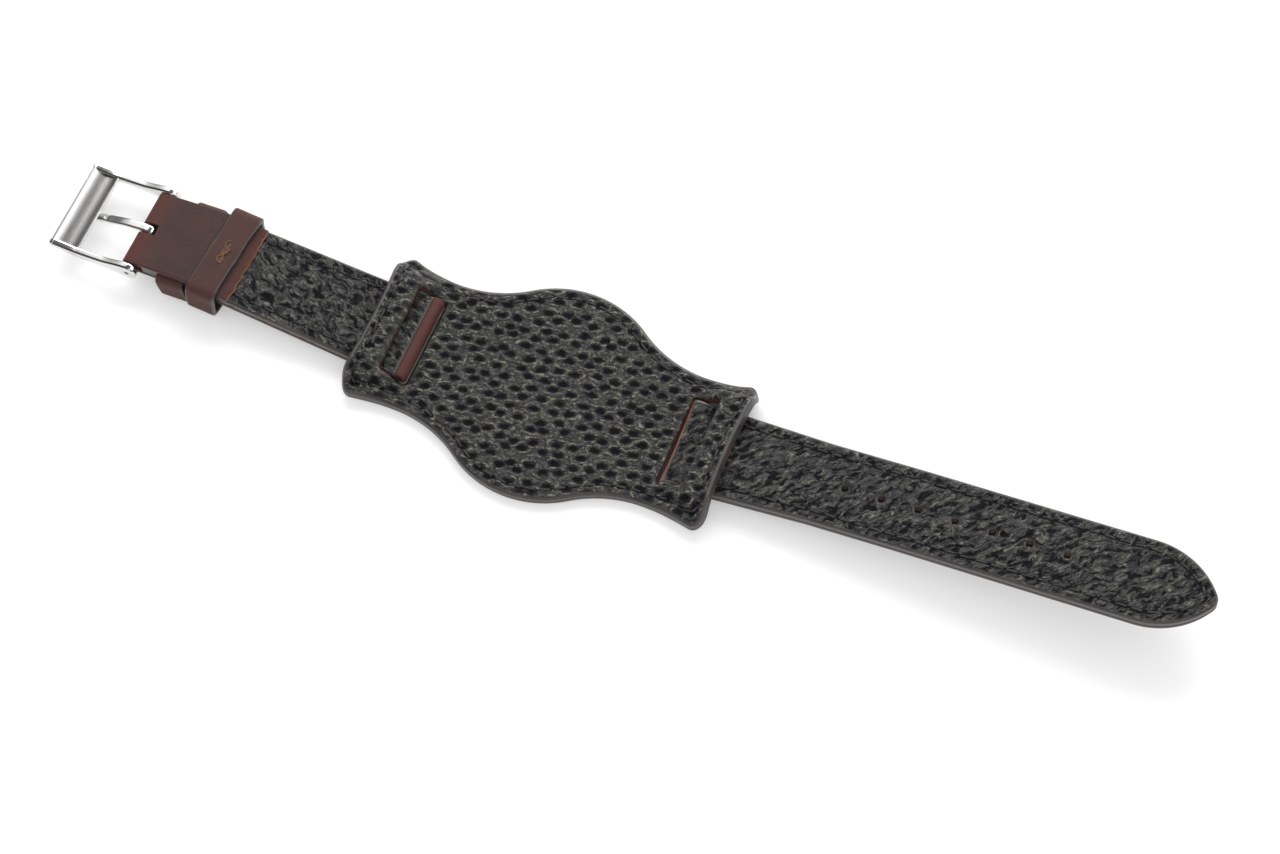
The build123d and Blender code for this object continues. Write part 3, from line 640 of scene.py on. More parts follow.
def spline(knots, values, count):
    """Smooth steps between knots without overshoot."""
    knots, values = np.array(knots), np.array(values)
    slopes = np.diff(values) / np.diff(knots)
    both = slopes[:-1] + slopes[1:]
    level = (slopes[:-1] * slopes[1:] <= 0) | (np.abs(both) < 1e-9)
    middles = np.where(level, 0.0, 2 * slopes[:-1] * slopes[1:] / np.where(level, 1.0, both))
    ends = np.concatenate([[0.0], middles, [slopes[-1]]])
    fine = np.linspace(knots[0], knots[-1], count)
    index = np.clip(np.searchsorted(knots, fine) - 1, 0, len(slopes) - 1)
    width = knots[index + 1] - knots[index]
    t = (fine - knots[index]) / width
    return fine, (
        values[index] * (1 + 2 * t) * (1 - t) ** 2 + values[index + 1] * t**2 * (3 - 2 * t)
        + width * (ends[index] * t * (1 - t) ** 2 - ends[index + 1] * t**2 * (1 - t))
    )


# Meshes

def linked(name, data):
    """A new object of the scene."""
    made = bpy.data.objects.new(name, data)
    bpy.context.scene.collection.objects.link(made)
    return made


def build(name, points, faces, values=None, kinds=None, finishes=()):
    """A mesh object from points in millimetres, with values at its points and finishes by face."""
    mesh = bpy.data.meshes.new(name)
    mesh.from_pydata((np.asarray(points) * MM).tolist(), [], [list(map(int, f)) for f in faces])
    for key, value in (values or {}).items():
        layer = mesh.attributes.new(key, "FLOAT", "POINT")
        layer.data.foreach_set("value", np.asarray(value, np.float32))
    for finish in finishes:
        mesh.materials.append(materials()[finish])
    if kinds is not None:
        mesh.polygons.foreach_set("material_index", np.asarray(kinds, np.int32))
    bm = bmesh.new()
    bm.from_mesh(mesh)
    bmesh.ops.recalc_face_normals(bm, faces=bm.faces)
    bm.to_mesh(mesh)
    bm.free()
    mesh.shade_smooth()
    return linked(name, mesh)


def sharpen(made, degrees):
    made.data.set_sharp_from_angle(angle=math.radians(degrees))


class Shell:
    """Points, faces and values of a mesh while it is put together."""

    def __init__(self):
        self.points, self.plans, self.faces, self.kinds = [], [], [], []
        self.values = {"edge": [], "rim": [], "pull": [], "relief": []}
        self.count = 0

    def put(self, points, plan, **values):
        """Adds points and tells the number of the first one."""
        size = len(points)
        self.points.append(points)
        self.plans.append(plan)
        for key, parts in self.values.items():
            parts.append(np.broadcast_to(values.get(key, 0.0), (size,)).astype(float))
        self.count += size
        return self.count - size

    def face(self, corners, kind):
        self.faces.append(corners)
        self.kinds.append(kind)

    def bridge(self, low, high, size, kind):
        """Faces between two rings, of the kind that belongs to each pair of neighbours."""
        for i in range(size):
            j = (i + 1) % size
            self.face((low + i, low + j, high + j, high + i), kind(i, j))

    def finish(self, name, finishes):
        values = {key: np.concatenate(parts) for key, parts in self.values.items()}
        made = build(name, np.concatenate(self.points), self.faces, values, self.kinds, finishes)
        layer = made.data.attributes.new("plan", "FLOAT_VECTOR", "POINT")
        plan = np.concatenate(self.plans)
        flat = np.column_stack([plan, np.zeros(len(plan))]).astype(np.float32) * MM
        layer.data.foreach_set("vector", flat.ravel())
        return made


def add_slab(shell, loops, side, place, steps, top, under, relief=None, pale=0, raw_before=-99.0,
             walls=1):
    """Adds a plate whose side profile is pairs of inset and height, from under face to top face."""
    rings = []
    for inset_by, height in side:
        starts = []
        for loop in loops:
            ring = inset(loop, inset_by)
            rim = inset_by if loop is loops[0] else 9.0
            level = np.full(len(ring), height)
            starts.append(shell.put(place(ring, level), ring, edge=inset_by, rim=rim))
        rings.append(starts)
    for low, high in zip(rings, rings[1:]):
        for loop, start, above in zip(loops, low, high):
            def kind(i, j):
                if max(loop[i][0], loop[j][0]) < raw_before:
                    return 2
                return 1 if loop is loops[0] else walls
            shell.bridge(start, above, len(loop), kind)
    for end, shape, step in ((-1, top, steps[0]), (0, under, steps[1])):
        margin = side[end][0]
        points, faces, ring_count = sheet_mesh([inset(loop, margin) for loop in loops], step)
        inner = points[ring_count:]
        gap = np.min([distance_to(inner, loop) for loop in loops], axis=0)
        rim = distance_to(inner, loops[0])
        soft = relief(inner, rim, gap) if relief and end else 0.0
        space = place(inner, shape(inner, rim, gap))
        start = shell.put(space, inner, edge=gap, rim=rim, relief=soft)
        lookup = np.concatenate(
            [np.arange(first, first + len(loop)) for first, loop in zip(rings[end], loops)]
            + [np.arange(start, start + len(inner))]
        )
        for face in lookup[faces]:
            shell.face(tuple(face), 0 if end else pale)


def add_carried(shell, profile, route, half, sections, rounding, pull=None, kind=None):
    """Adds a closed side profile, carried across the strap, with its two ends rounded."""
    profile = facing(np.asarray(profile, float), True)
    ends = ((0.0, rounding), (0.3 * rounding, 0.3 * rounding), (rounding, 0.0))
    rows = [(-1.0, *end) for end in ends]
    rows += [(share, None, 0.0) for share in np.linspace(-1, 1, sections)[1:-1]]
    rows += [(1.0, *end) for end in ends[::-1]]
    starts = []
    for share, back, by in rows:
        ring = inset(profile, by)
        width = half(ring[:, 0])
        if back is None:
            across = share * (width - rounding)
        else:
            across = share * width - math.copysign(back, share)
        points, plan = route(ring, across)
        gap = np.maximum(width - np.abs(across), 0.0)
        starts.append(shell.put(points, plan, edge=gap, rim=gap, pull=pull(ring) if pull else 0.0))
    size = len(profile)
    for low, high in zip(starts, starts[1:]):
        shell.bridge(low, high, size, lambda i, j: kind(profile[i], profile[j]) if kind else 0)
    for start in (starts[0], starts[-1]):
        shell.face(list(range(start, start + size)), 1)


def shaped(name, finishes, add, *values, **options):
    """An object that one call of add_slab or add_carried makes."""
    shell = Shell()
    add(shell, *values, **options)
    return shell.finish(name, finishes)


def evaluated_mesh(made):
    graph = bpy.context.evaluated_depsgraph_get()
    graph.update()
    return bpy.data.meshes.new_from_object(made.evaluated_get(graph))


def applied(made):
    """The object with its modifiers turned into plain mesh."""
    mesh = evaluated_mesh(made)
    made.modifiers.clear()
    old, made.data = made.data, mesh
    mesh.name = made.name
    bpy.data.meshes.remove(old)
    return made


def cut(made, *tools):
    """Takes the tools' shapes out of a closed piece."""
    for tool in tools:
        modifier = made.modifiers.new("Cut", "BOOLEAN")
        modifier.operation, modifier.solver, modifier.object = "DIFFERENCE", "EXACT", tool
    applied(made)
    for tool in tools:
        mesh = tool.data
        bpy.data.objects.remove(tool)
        bpy.data.meshes.remove(mesh)
    return made


def rod(centre, axis, radius, length, count=40):
    """A cylinder for cutting, in millimetres."""
    turn = Vector(axis).to_track_quat("Z", "Y").to_matrix()
    points = []
    for end in (-0.5, 0.5):
        for angle in np.linspace(0, 2 * math.pi, count, endpoint=False):
            spot = turn @ Vector((radius * math.cos(angle), radius * math.sin(angle), end * length))
            points.append([centre[i] + spot[i] for i in range(3)])
    faces = [(i, (i + 1) % count, count + (i + 1) % count, count + i) for i in range(count)]
    faces += [tuple(range(count))[::-1], tuple(range(count, 2 * count))]
    return build("rod_tool", points, faces)


def block(low, high):
    """A box for cutting, in millimetres."""
    low, high = np.asarray(low), np.asarray(high)
    points = low + np.array(list(np.ndindex(2, 2, 2))) * (high - low)
    faces = [(0, 1, 3, 2), (4, 6, 7, 5), (0, 4, 5, 1), (2, 3, 7, 6), (0, 2, 6, 4), (1, 5, 7, 3)]
    return build("block_tool", points, faces)


def joined(parts):
    """The parts as one object."""
    first = parts[0]
    bm = bmesh.new()
    names = [material.name for material in first.data.materials]
    for part in parts:
        for material in part.data.materials:
            if material.name not in names:
                names.append(material.name)
                first.data.materials.append(material)
    mesh = bpy.data.meshes.new(first.name)
    for part in parts:
        shift = [names.index(material.name) for material in part.data.materials]
        before = len(bm.faces)
        bm.from_mesh(part.data)
        bm.faces.ensure_lookup_table()
        for face in bm.faces[before:]:
            face.material_index = shift[face.material_index]
    for material in first.data.materials:
        mesh.materials.append(material)
    bm.to_mesh(mesh)
    bm.free()
    first.data = mesh
    for part in parts[1:]:
        bpy.data.objects.remove(part)
    return first


def done(made, slot, body, *nodes):
    """Hides the solids that the piece stands for and hangs it on the empty of the body that it
    moves with; the slot is not used.
    """
    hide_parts(*nodes)
    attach(made, body)


# The route of each strap piece, from its nose outwards

class Route:
    """Underside of a strap piece: maps a distance, a sideways place and a height to space."""

    def __init__(self, start_x, heading, corners, bends):
        self.start_x, self.heading = start_x, Vector(heading)
        self.across = Vector((0, 1, 0)) if heading[0] < 0 else Vector((-heading[1], heading[0], 0))
        grades = [(z1 - z0) / (x1 - x0) for (x0, z0), (x1, z1) in zip(corners, corners[1:])]
        line = [(corners[0][0] - BEYOND, corners[0][1] - BEYOND * grades[0], grades[0])]
        for (x, z), before, after, radius in zip(corners[1:], grades, grades[1:], bends):
            one, two = math.atan(before), math.atan(after)
            bow = radius if two > one else -radius
            reach = radius * math.tan(abs(two - one) / 2)
            hub_x = x - reach * math.cos(one) - bow * math.sin(one)
            hub_z = z - reach * math.sin(one) + bow * math.cos(one)
            for angle in np.linspace(one, two, BEND_POINTS):
                x, z = hub_x + bow * math.sin(angle), hub_z - bow * math.cos(angle)
                line.append((x, z, math.tan(angle)))
        line.append((corners[-1][0] + BEYOND, corners[-1][1] + BEYOND * grades[-1], grades[-1]))
        self.xs, self.zs, self.slopes = np.array(line).T

    def place(self, plan, height):
        """Points in space for plan places and heights square to the route."""
        run, side = np.asarray(plan, float).T
        slope = np.interp(run, self.xs, self.slopes)
        scale = 1 / np.sqrt(1 + slope**2)
        x = run - slope * scale * height
        return np.column_stack([
            self.start_x + x * self.heading.x + side * self.across.x,
            x * self.heading.y + side * self.across.y,
            np.interp(run, self.xs, self.zs) + scale * height,
        ])

    def spot(self, run, side, height):
        return self.place([[run, side]], np.array([height]))[0]

    def carry(self, ring, across):
        """Places a side profile of distances and heights at sideways places."""
        plan = np.column_stack([ring[:, 0], across])
        return self.place(plan, ring[:, 1]), plan


BUCKLE_ROUTE = Route(BUCKLE_START, (-1, 0, 0), BUCKLE_CORNERS, BUCKLE_BENDS)
TAIL_ROUTE = Route(TAIL_START, (math.cos(SWING), math.sin(SWING), 0), TAIL_CORNERS, TAIL_BENDS)
PIN = BUCKLE_ROUTE.spot(PIN_RUN, 0.0, FLAP_TOP / 2)


def buckle_half(run):
    return LUG_HALF + (BUCKLE_HALF - LUG_HALF) * np.clip(run / PIN_RUN, 0, 1)


def tail_half(run):
    return LUG_HALF + (BUCKLE_HALF - LUG_HALF) * np.clip(run / TAPER_RUN, 0, 1)


def strip_loop(start, end, margin=0.0, step=0.5):
    """Outline of a stretch of the buckle piece."""
    runs = np.arange(start, end + step / 2, step)
    runs[-1] = end
    return mirrored(np.stack([runs, buckle_half(runs) - margin], 1), step)


def tail_loop(start, step=OUTLINE_STEP):
    """Outline of the tail from a distance to its pointed tip."""
    tip = TAIL_LENGTH - TIP_LENGTH
    ogive = (TIP_LENGTH**2 + BUCKLE_HALF**2) / (BUCKLE_HALF * 2)
    hub = math.sqrt((ogive - TIP_ROUND) ** 2 - (ogive - BUCKLE_HALF) ** 2)
    touch = hub * ogive / (ogive - TIP_ROUND)
    straight, bow = np.arange(start, tip, 0.5), np.linspace(0, touch, 90)
    turn = np.linspace(math.asin((touch - hub) / TIP_ROUND), math.pi / 2, 20)
    runs = np.concatenate([straight, tip + bow, tip + hub + TIP_ROUND * np.sin(turn)])
    bowed = BUCKLE_HALF - ogive + np.sqrt(ogive**2 - bow**2)
    half = np.concatenate([tail_half(straight), bowed, TIP_ROUND * np.cos(turn)])
    return mirrored(np.stack([runs, half], 1), step)


def hole_loops(radius):
    last = TAIL_LENGTH - HOLE_TO_TIP
    return [
        facing(np.array(arc((last - index * HOLE_PITCH, 0), radius, 0, 360, 21)[:-1]), False)
        for index in range(HOLE_COUNT)
    ]


def strap_top(base, crown, fade=None):
    """Height of a padded face: a groove under the seam and a crown between the seams."""
    def shape(points, rim, gap):
        swell = crown * smooth(SEAM_INSET, SEAM_INSET + 4.5, rim) * (fade(points) if fade else 1.0)
        groove = 0.28 * np.exp(-((rim - SEAM_INSET) / 0.5) ** 2)
        lip = 0.12 * smooth(0.3, 1.2, rim) * (1 - smooth(1.3, 2.1, rim))
        dip = 0.12 * (1 - smooth(0.3, 1.0, gap)) * (gap < rim - 1e-6)
        return base + swell - groove + lip - dip
    return shape


def flat_top(base):
    return lambda points, rim, gap: np.full(len(points), base)


def grooved(depth):
    """Height of an under face that is drawn in along its seam."""
    return lambda points, rim, gap: depth * np.exp(-((rim - SEAM_INSET) / 0.45) ** 2)


def seam_relief(points, rim, gap):
    """Where the grain stands: pressed flat beside edges and under the seam."""
    return smooth(0.25, 1.0, gap) * (1 - 0.75 * np.exp(-((rim - SEAM_INSET) / 0.55) ** 2))


# Grain and stitches, made by modifiers that are read once and taken off

def pebble_tree():
    """Presses the printed grain into a face: rows of lens-shaped pits, or rounded pebbles."""
    sizes = (("Length", 0.0042), ("Width", 0.0024), ("Depth", 0.0003), ("Turn", 0.0),
             ("Unevenness", 0.4), ("Pits", 1.0), ("Wander", 0.0008))
    maker, given = new_group(
        "pebble_print", "GeometryNodeTree",
        [("Geometry", "Geometry", None), *((label, "Float", value) for label, value in sizes),
         ("Seed", "Int", SEED)],
        [("Geometry", "Geometry")],
    )
    root = math.sqrt(2)
    along, sideways = maker.math("DIVIDE", given["Length"], root), maker.times(given["Width"], root)
    cell = maker.add("ShaderNodeCombineXYZ", {0: along, 1: sideways, 2: 1.0})
    seed = maker.add("ShaderNodeCombineXYZ", {0: given["Seed"]})
    lens, folds, breaks = print_nodes(
        maker, maker.named("plan", "FLOAT_VECTOR"), cell, given["Turn"], given["Unevenness"],
        given["Wander"], seed.outputs[0],
    )
    lip = maker.times(maker.ramp(lens, 0.75, 1.1), maker.ramp(lens, 1.2, 1.75, 1.0, 0.0))
    lip = maker.times(lip, maker.ramp(breaks, 0.42, 0.58))
    printed = maker.plus(maker.times(maker.ramp(lens, 0.25, 1.15), 0.75), maker.times(lip, 0.4))
    pebble = maker.ramp(folds, 0.3, 0.7)
    form = maker.plus(pebble, maker.times(maker.minus(printed, pebble), given["Pits"]))
    height = maker.plus(form, maker.ramp(breaks, 0.3, 0.7, -0.25, 0.25))
    lift = maker.times(maker.minus(height, 0.8), given["Depth"])
    held = maker.times(lift, maker.named("relief", "FLOAT"))
    offset = maker.scaled(maker.add("GeometryNodeInputNormal"), held)
    placed = maker.add("GeometryNodeSetPosition", {"Geometry": given["Geometry"], "Offset": offset})
    maker.add("NodeGroupOutput", {0: placed})
    return maker.tree


def stitch_tree():
    """A bent thread on every step of a seam line."""
    sizes = (("Length", 0.0023), ("Pitch", 0.0032), ("Width", 0.0005), ("Sink", 0.0003))
    maker, given = new_group(
        "seam_stitches", "GeometryNodeTree",
        [("Geometry", "Geometry", None), *((label, "Float", value) for label, value in sizes),
         ("Seed", "Int", SEED), ("Thread", "Material", None)],
        [("Geometry", "Geometry")],
    )
    line = maker.add("GeometryNodeMeshToCurve", {0: given["Geometry"]})
    steps = maker.add(
        "GeometryNodeResampleCurve", {"Curve": line, "Length": given["Pitch"]}, mode="LENGTH",
    )
    reach, sunk = maker.times(given["Length"], 0.5), maker.times(given["Sink"], -1.0)
    bow = maker.add("GeometryNodeCurveQuadraticBezier", {
        "Resolution": 6,
        "Start": maker.add("ShaderNodeCombineXYZ", {0: maker.times(reach, -1.0), 2: sunk}),
        "Middle": maker.add("ShaderNodeCombineXYZ", {2: given["Sink"]}),
        "End": maker.add("ShaderNodeCombineXYZ", {0: reach, 2: sunk}),
    })
    ring = maker.add(
        "GeometryNodeCurvePrimitiveCircle",
        {"Resolution": 7, "Radius": maker.times(given["Width"], 0.5)}, mode="RADIUS",
    )
    thread = maker.add(
        "GeometryNodeCurveToMesh", {"Curve": bow, "Profile Curve": ring, "Fill Caps": True},
    )
    way = maker.add("FunctionNodeAxesToRotation", {
        "Primary Axis": maker.named("up", "FLOAT_VECTOR"),
        "Secondary Axis": maker.add("GeometryNodeInputTangent"),
    }, primary_axis="Z", secondary_axis="X")

    def drawn(low, high):
        return maker.add(
            "FunctionNodeRandomValue", {"Min": low, "Max": high, "Seed": given["Seed"]},
            data_type="FLOAT_VECTOR",
        ).outputs[0]

    laid = maker.add("GeometryNodeInstanceOnPoints", {
        "Points": steps, "Instance": thread, "Rotation": way,
        "Scale": drawn((0.92, 0.9, 0.85), (1.06, 1.1, 1.15)),
    })
    turned = maker.add("GeometryNodeRotateInstances", {
        "Instances": laid, "Rotation": drawn((-0.05, -0.05, -0.09), (0.05, 0.05, 0.09)),
    })
    real = maker.add("GeometryNodeRealizeInstances", {0: turned})
    painted = maker.add("GeometryNodeSetMaterial", {"Geometry": real, "Material": given["Thread"]})
    maker.add("NodeGroupOutput", {0: painted})
    return maker.tree


def grown(made, tree, values):
    """The object after a node group with its named inputs has run on it."""
    modifier = made.modifiers.new(tree.name, "NODES")
    modifier.node_group = tree
    for item in tree.interface.items_tree:
        if item.in_out == "INPUT" and item.name in values:
            modifier[item.identifier] = values[item.name]
    return applied(made)


def pebbled(made, skin):
    """Puts the printed grain of a skin on a piece."""
    leather = leather_values()
    grown(made, tree_of("pebble_print", pebble_tree), {
        "Length": leather.pebble_length * skin.length, "Width": leather.pebble_width * skin.width,
        "Depth": leather.pebble_depth * skin.depth, "Turn": math.radians(skin.turn),
        "Unevenness": skin.unevenness, "Pits": skin.pits, "Wander": skin.wander, "Seed": skin.seed,
    })


def seam(name, lines, length, sink, seed):
    """Stitches along lines of points and normals, in millimetres."""
    thread = bpy.context.scene.strap_thread
    edges, first = [], 0
    for places, _, closed in lines:
        count = len(places)
        last = count if closed else count - 1
        edges += [(first + i, first + (i + 1) % count) for i in range(last)]
        first += count
    points, ups = (np.concatenate([line[part] for line in lines]) for part in (0, 1))
    mesh = bpy.data.meshes.new(name)
    mesh.from_pydata((points * MM).tolist(), edges, [])
    layer = mesh.attributes.new("up", "FLOAT_VECTOR", "POINT")
    layer.data.foreach_set("vector", ups.astype(np.float32).ravel())
    made = grown(linked(name, mesh), tree_of("seam_stitches", stitch_tree), {
        "Length": thread.length * length, "Pitch": thread.pitch, "Width": thread.width,
        "Sink": sink, "Seed": seed, "Thread": materials()["black_thread"],
    })
    made.data.shade_smooth()
    return made


# Pad

def pad_end(y):
    """How far out the pad's hollow end is, at a sideways place."""
    hollow = (EAR_HALF**2 + END_HOLLOW**2) / (2 * END_HOLLOW)
    return PAD_HALF - END_HOLLOW + hollow - math.sqrt(hollow**2 - y**2)


def pad_loop():
    """Outline of the pad: bulge, waist, flared ear and hollow end of a quarter, mirrored twice."""
    hub = PAD_WIDTH / 2 - BULGE
    rise = WAIST_HALF + WAIST - hub
    waist_x = math.sqrt((BULGE + WAIST) ** 2 - rise**2)
    lean = math.atan2(waist_x, rise)
    quarter = [(BULGE * math.sin(a), hub + BULGE * math.cos(a)) for a in np.linspace(0, lean, 40)]
    quarter += [
        (waist_x - WAIST * math.sin(a), hub + rise - WAIST * math.cos(a))
        for a in np.linspace(lean, 0, 40)[1:]
    ]
    start_x, stop_y = PAD_HALF - EAR_ROUND, EAR_HALF - EAR_ROUND
    flare = start_x - waist_x
    quarter += [
        (waist_x + flare * t, WAIST_HALF + EAR_FLARE * t * t) for t in np.linspace(0, 1, 12)[1:-1]
    ]
    start, stop = Vector((start_x, WAIST_HALF + EAR_FLARE)), Vector((pad_end(stop_y), stop_y))
    handle = EAR_ROUND * ARC_HANDLE
    one = start + Vector((1, 2 * EAR_FLARE / flare)).normalized() * handle
    two = stop + Vector((pad_end(stop_y + 0.1) - pad_end(stop_y - 0.1), 0.2)).normalized() * handle
    for t in np.linspace(0, 1, 30):
        s = 1 - t
        quarter.append(tuple(start * s**3 + one * 3 * s**2 * t + two * 3 * s * t**2 + stop * t**3))
    quarter = np.array(quarter + [(pad_end(y), y) for y in np.linspace(stop_y, 0, 30)[1:]])
    right = np.concatenate([quarter, (quarter * (1, -1))[::-1][1:]])
    whole = np.concatenate([right, (right * (-1, 1))[::-1][1:-1]])
    return spaced(facing(whole, True), OUTLINE_STEP)


def window_loop(end):
    middle, reach = (WINDOW_IN + WINDOW_OUT) / 2, (WINDOW_OUT - WINDOW_IN) / 2
    box = rounded_box((middle, 0.0), (reach, WINDOW_HALF), WINDOW_ROUND, 6)
    return spaced(facing(box * (end, 1), False), OUTLINE_STEP)


ARCH_FINE, RISE_FINE = spline(ARCH_RUNS, ARCH_RISES, 200)
LIFT_FINE = spline(ARCH_RUNS, EAR_LIFTS, 200)[1]
FLANK_STEPS = np.linspace(1, 0, 60)
FLANK_PLACES = (
    ARCH_FOOT * (1 - FLANK_STEPS) ** 3
    + 3 * (ARCH_TOP + ARCH_FOOT) / 2 * (1 - FLANK_STEPS) * FLANK_STEPS + ARCH_TOP * FLANK_STEPS**3
)


def arch_height(plan):
    """How far the pad is lifted over the strap at a place in plan."""
    reach = np.clip((np.abs(plan[:, 0]) - ARCH_START) / ARCH_LENGTH, 0, ARCH_RUNS[-1])
    rise = np.interp(reach, ARCH_FINE, RISE_FINE) * ARCH_RISE
    lift = np.interp(reach, ARCH_FINE, LIFT_FINE) * EAR_LIFT
    side = np.abs(plan[:, 1])
    share = np.interp(side, FLANK_PLACES, smooth(0, 1, FLANK_STEPS))
    crown = ARCH_CROWN * rise / ARCH_RISE * np.clip(1 - (side / ARCH_TOP) ** 2, 0, 1)
    return lift + (rise - lift) * share + crown


def pad_place(plan, height):
    """Points of the pad: heights stand square to it where its ends curl up."""
    near = 0.2
    slope = (arch_height(plan + (near, 0)) - arch_height(plan - (near, 0))) / (near * 2)
    slope = slope * smooth(WINDOW_OUT + 1.5, PAD_HALF, np.abs(plan[:, 0]))
    scale = 1 / np.sqrt(1 + slope**2)
    x = plan[:, 0] - slope * scale * height
    return np.column_stack([x, plan[:, 1], arch_height(plan) + scale * height])


def grain_step():
    return leather_values().grain_step / MM


class STRAP_OT_pad(bpy.types.Operator):
    """Make the two leather layers of the wrist pad"""

    bl_idname = "strap.pad"
    bl_label = "Wrist pad"

    def execute(self, context):
        loops = [pad_loop(), window_loop(1), window_loop(-1)]
        side = [(0.0, PAD_LAYER), (0.06, PAD_LAYER + 0.12), (0.0, PAD_LAYER + 0.3),
                (0.0, PAD_TOP - 0.5), (0.12, PAD_TOP - 0.22), (0.34, PAD_TOP - 0.05),
                (0.6, PAD_TOP)]
        made = shaped(
            "pad_lining_leather", ("pebbled_lining", "edge_paint"), add_slab, loops, side,
            pad_place, (grain_step(), PLAIN_STEP), strap_top(PAD_TOP, 0.12), flat_top(PAD_LAYER),
            relief=lambda *spots: seam_relief(*spots) * smooth(0.3, 2.2, spots[2]), walls=0,
        )
        pebbled(made, PAD_SKIN)
        done(made, "lining_leather", "pad", "pad_lining")

        for loop in loops[1:]:
            inner = np.abs(loop[:, 0]) < WINDOW_IN + WINDOW_ROUND
            loop[:, 0] += np.where(inner, LEDGE * np.sign(loop[:, 0]), 0.0)
            loop[:, 1] -= np.clip(loop[:, 1], -LEDGE, LEDGE)
        side = [(0.6, 0.0), (0.3, 0.06), (0.1, 0.22), (0.0, 0.5), (0.0, PAD_LAYER - 0.25),
                (0.06, PAD_LAYER - 0.1), (0.0, PAD_LAYER)]
        made = shaped(
            "pad_outer_leather", PAINTED_BROWN, add_slab, loops, side, pad_place,
            (PLAIN_STEP, UNDER_STEP), flat_top(PAD_LAYER), grooved(0.3), walls=0,
        )
        done(made, "strap_leather", "pad", "pad_outer")
        return {"FINISHED"}


class STRAP_OT_pad_seam(bpy.types.Operator):
    """Sew the seam round the edge of the pad, on both faces"""

    bl_idname = "strap.pad_seam"
    bl_label = "Pad seam"

    def execute(self, context):
        loop = spaced(inset(pad_loop(), SEAM_INSET), SEAM_STEP)
        lines = []
        for height, way in ((PAD_TOP - STITCH_DIP, 1), (0.27, -1)):
            level = np.full(len(loop), height)
            points = pad_place(loop, level)
            ahead = np.roll(points, -1, 0) - np.roll(points, 1, 0)
            normals = np.cross(ahead, pad_place(inset(loop, 0.3), level) - points)
            normals *= way / np.linalg.norm(normals, axis=1, keepdims=True)
            lines.append((points, normals, True))
        made = seam("pad_seam", lines, 1.0, PAD_STITCH_SINK, SEED)
        done(made, "dark_thread", "pad", "pad_stitching")
        return {"FINISHED"}


# Strap pieces

def make_nose(name, route, half, back, top):
    """The fold round the watch bar's bore, with its upper leather ending at the back."""
    profile = [(x, 0.0) for x in np.linspace(NOSE_FOLD, 0.3, 6)]
    profile += arc((0, NOSE_RADIUS), NOSE_RADIUS, 270, 180, 14)
    squeeze = top / NOSE_RADIUS - 1
    profile += [(x, NOSE_RADIUS + (z - NOSE_RADIUS) * squeeze)
                for x, z in arc((0, NOSE_RADIUS), NOSE_RADIUS, 180, 90, 14)[1:]]
    profile += [(x, top) for x in np.linspace(0.25, back - 0.12, 5)]
    profile += [(back, top - 0.1), (back, CORE_TOP), (NOSE_FOLD, CORE_TOP)]
    nose = shaped(
        name, PAINTED_BROWN, add_carried, profile, route.carry, half, 22, LEATHER_ROUND,
        pull=lambda ring: 0.6 + 0.3 * smooth(1.2, -1.2, ring[:, 0]),
    )
    cut(nose, rod(route.spot(0.0, 0.0, NOSE_RADIUS), route.across, BAR_BORE, 30))
    sharpen(nose, LEATHER_CREASE)
    return nose


def lining_side(drop):
    """Side profile of a lining, rounded at its top."""
    rounded = [(share * drop, STRAP_TOP - fall * drop)
               for share, fall in ((0.0, 1.0), (0.25, 0.42), (0.65, 0.1), (1.0, 0.0))]
    return [(0.07, CORE_TOP), (0.0, CORE_TOP + 0.12), *rounded]


def outer_side(foot):
    """Side profile of an outer layer, rounded at its foot and with a line at its top."""
    return [(foot, 0.0), (foot * 0.3, foot * 0.35), (0.0, foot), (0.0, LEATHER - 0.16),
            (0.07, LEATHER - 0.04), (0.07, LEATHER)]


def add_core(shell, loops, place, low, high):
    add_slab(
        shell, loops, [(0, low), (0, high)], place, (CORE_STEP, CORE_STEP), flat_top(high),
        flat_top(low), pale=1,
    )


def flap_profile():
    """Side profile of the outer strip, folded round the spring bar to its skived end."""
    fold, end = FLAP_TOP / 2, CORE_RUN + 0.7
    profile = [(x, 0.0) for x in np.arange(NOSE_FOLD - 0.3, PIN_RUN, 1.2)]
    profile += arc((PIN_RUN, fold), fold, -90, 90, 34)
    profile += [(x, FLAP_TOP) for x in np.arange(PIN_RUN - 0.6, FLAP_RUN + 2.6, -0.8)]
    skive = ((1.9, 0.08), (1.0, 0.28), (0.25, 0.52), (0.0, 0.68), (0.02, 0.98))
    profile += [(FLAP_RUN + run, FLAP_TOP - drop) for run, drop in skive]
    profile += [(x, STRAP_TOP) for x in np.arange(FLAP_RUN + 1.0, CORE_RUN + 0.6, 1.2)]
    profile += [(end, STRAP_TOP - 0.1), (end, LEATHER + 0.1)]
    profile += [(x, LEATHER) for x in np.arange(CORE_RUN + 0.5, NOSE_FOLD - 0.2, -1.2)]
    return profile + [(NOSE_FOLD - 0.3, LEATHER)]


def flap_pull(ring):
    """Where the strip is stretched: in its fold and at the flap's end."""
    front = smooth(PIN_RUN - 4.5, PIN_RUN + 0.5, ring[:, 0])
    back = smooth(FLAP_RUN + 3.0, FLAP_RUN + 0.4, ring[:, 0]) * (ring[:, 1] > STRAP_TOP - 0.5)
    return np.clip(front + 0.8 * back, 0, 1)


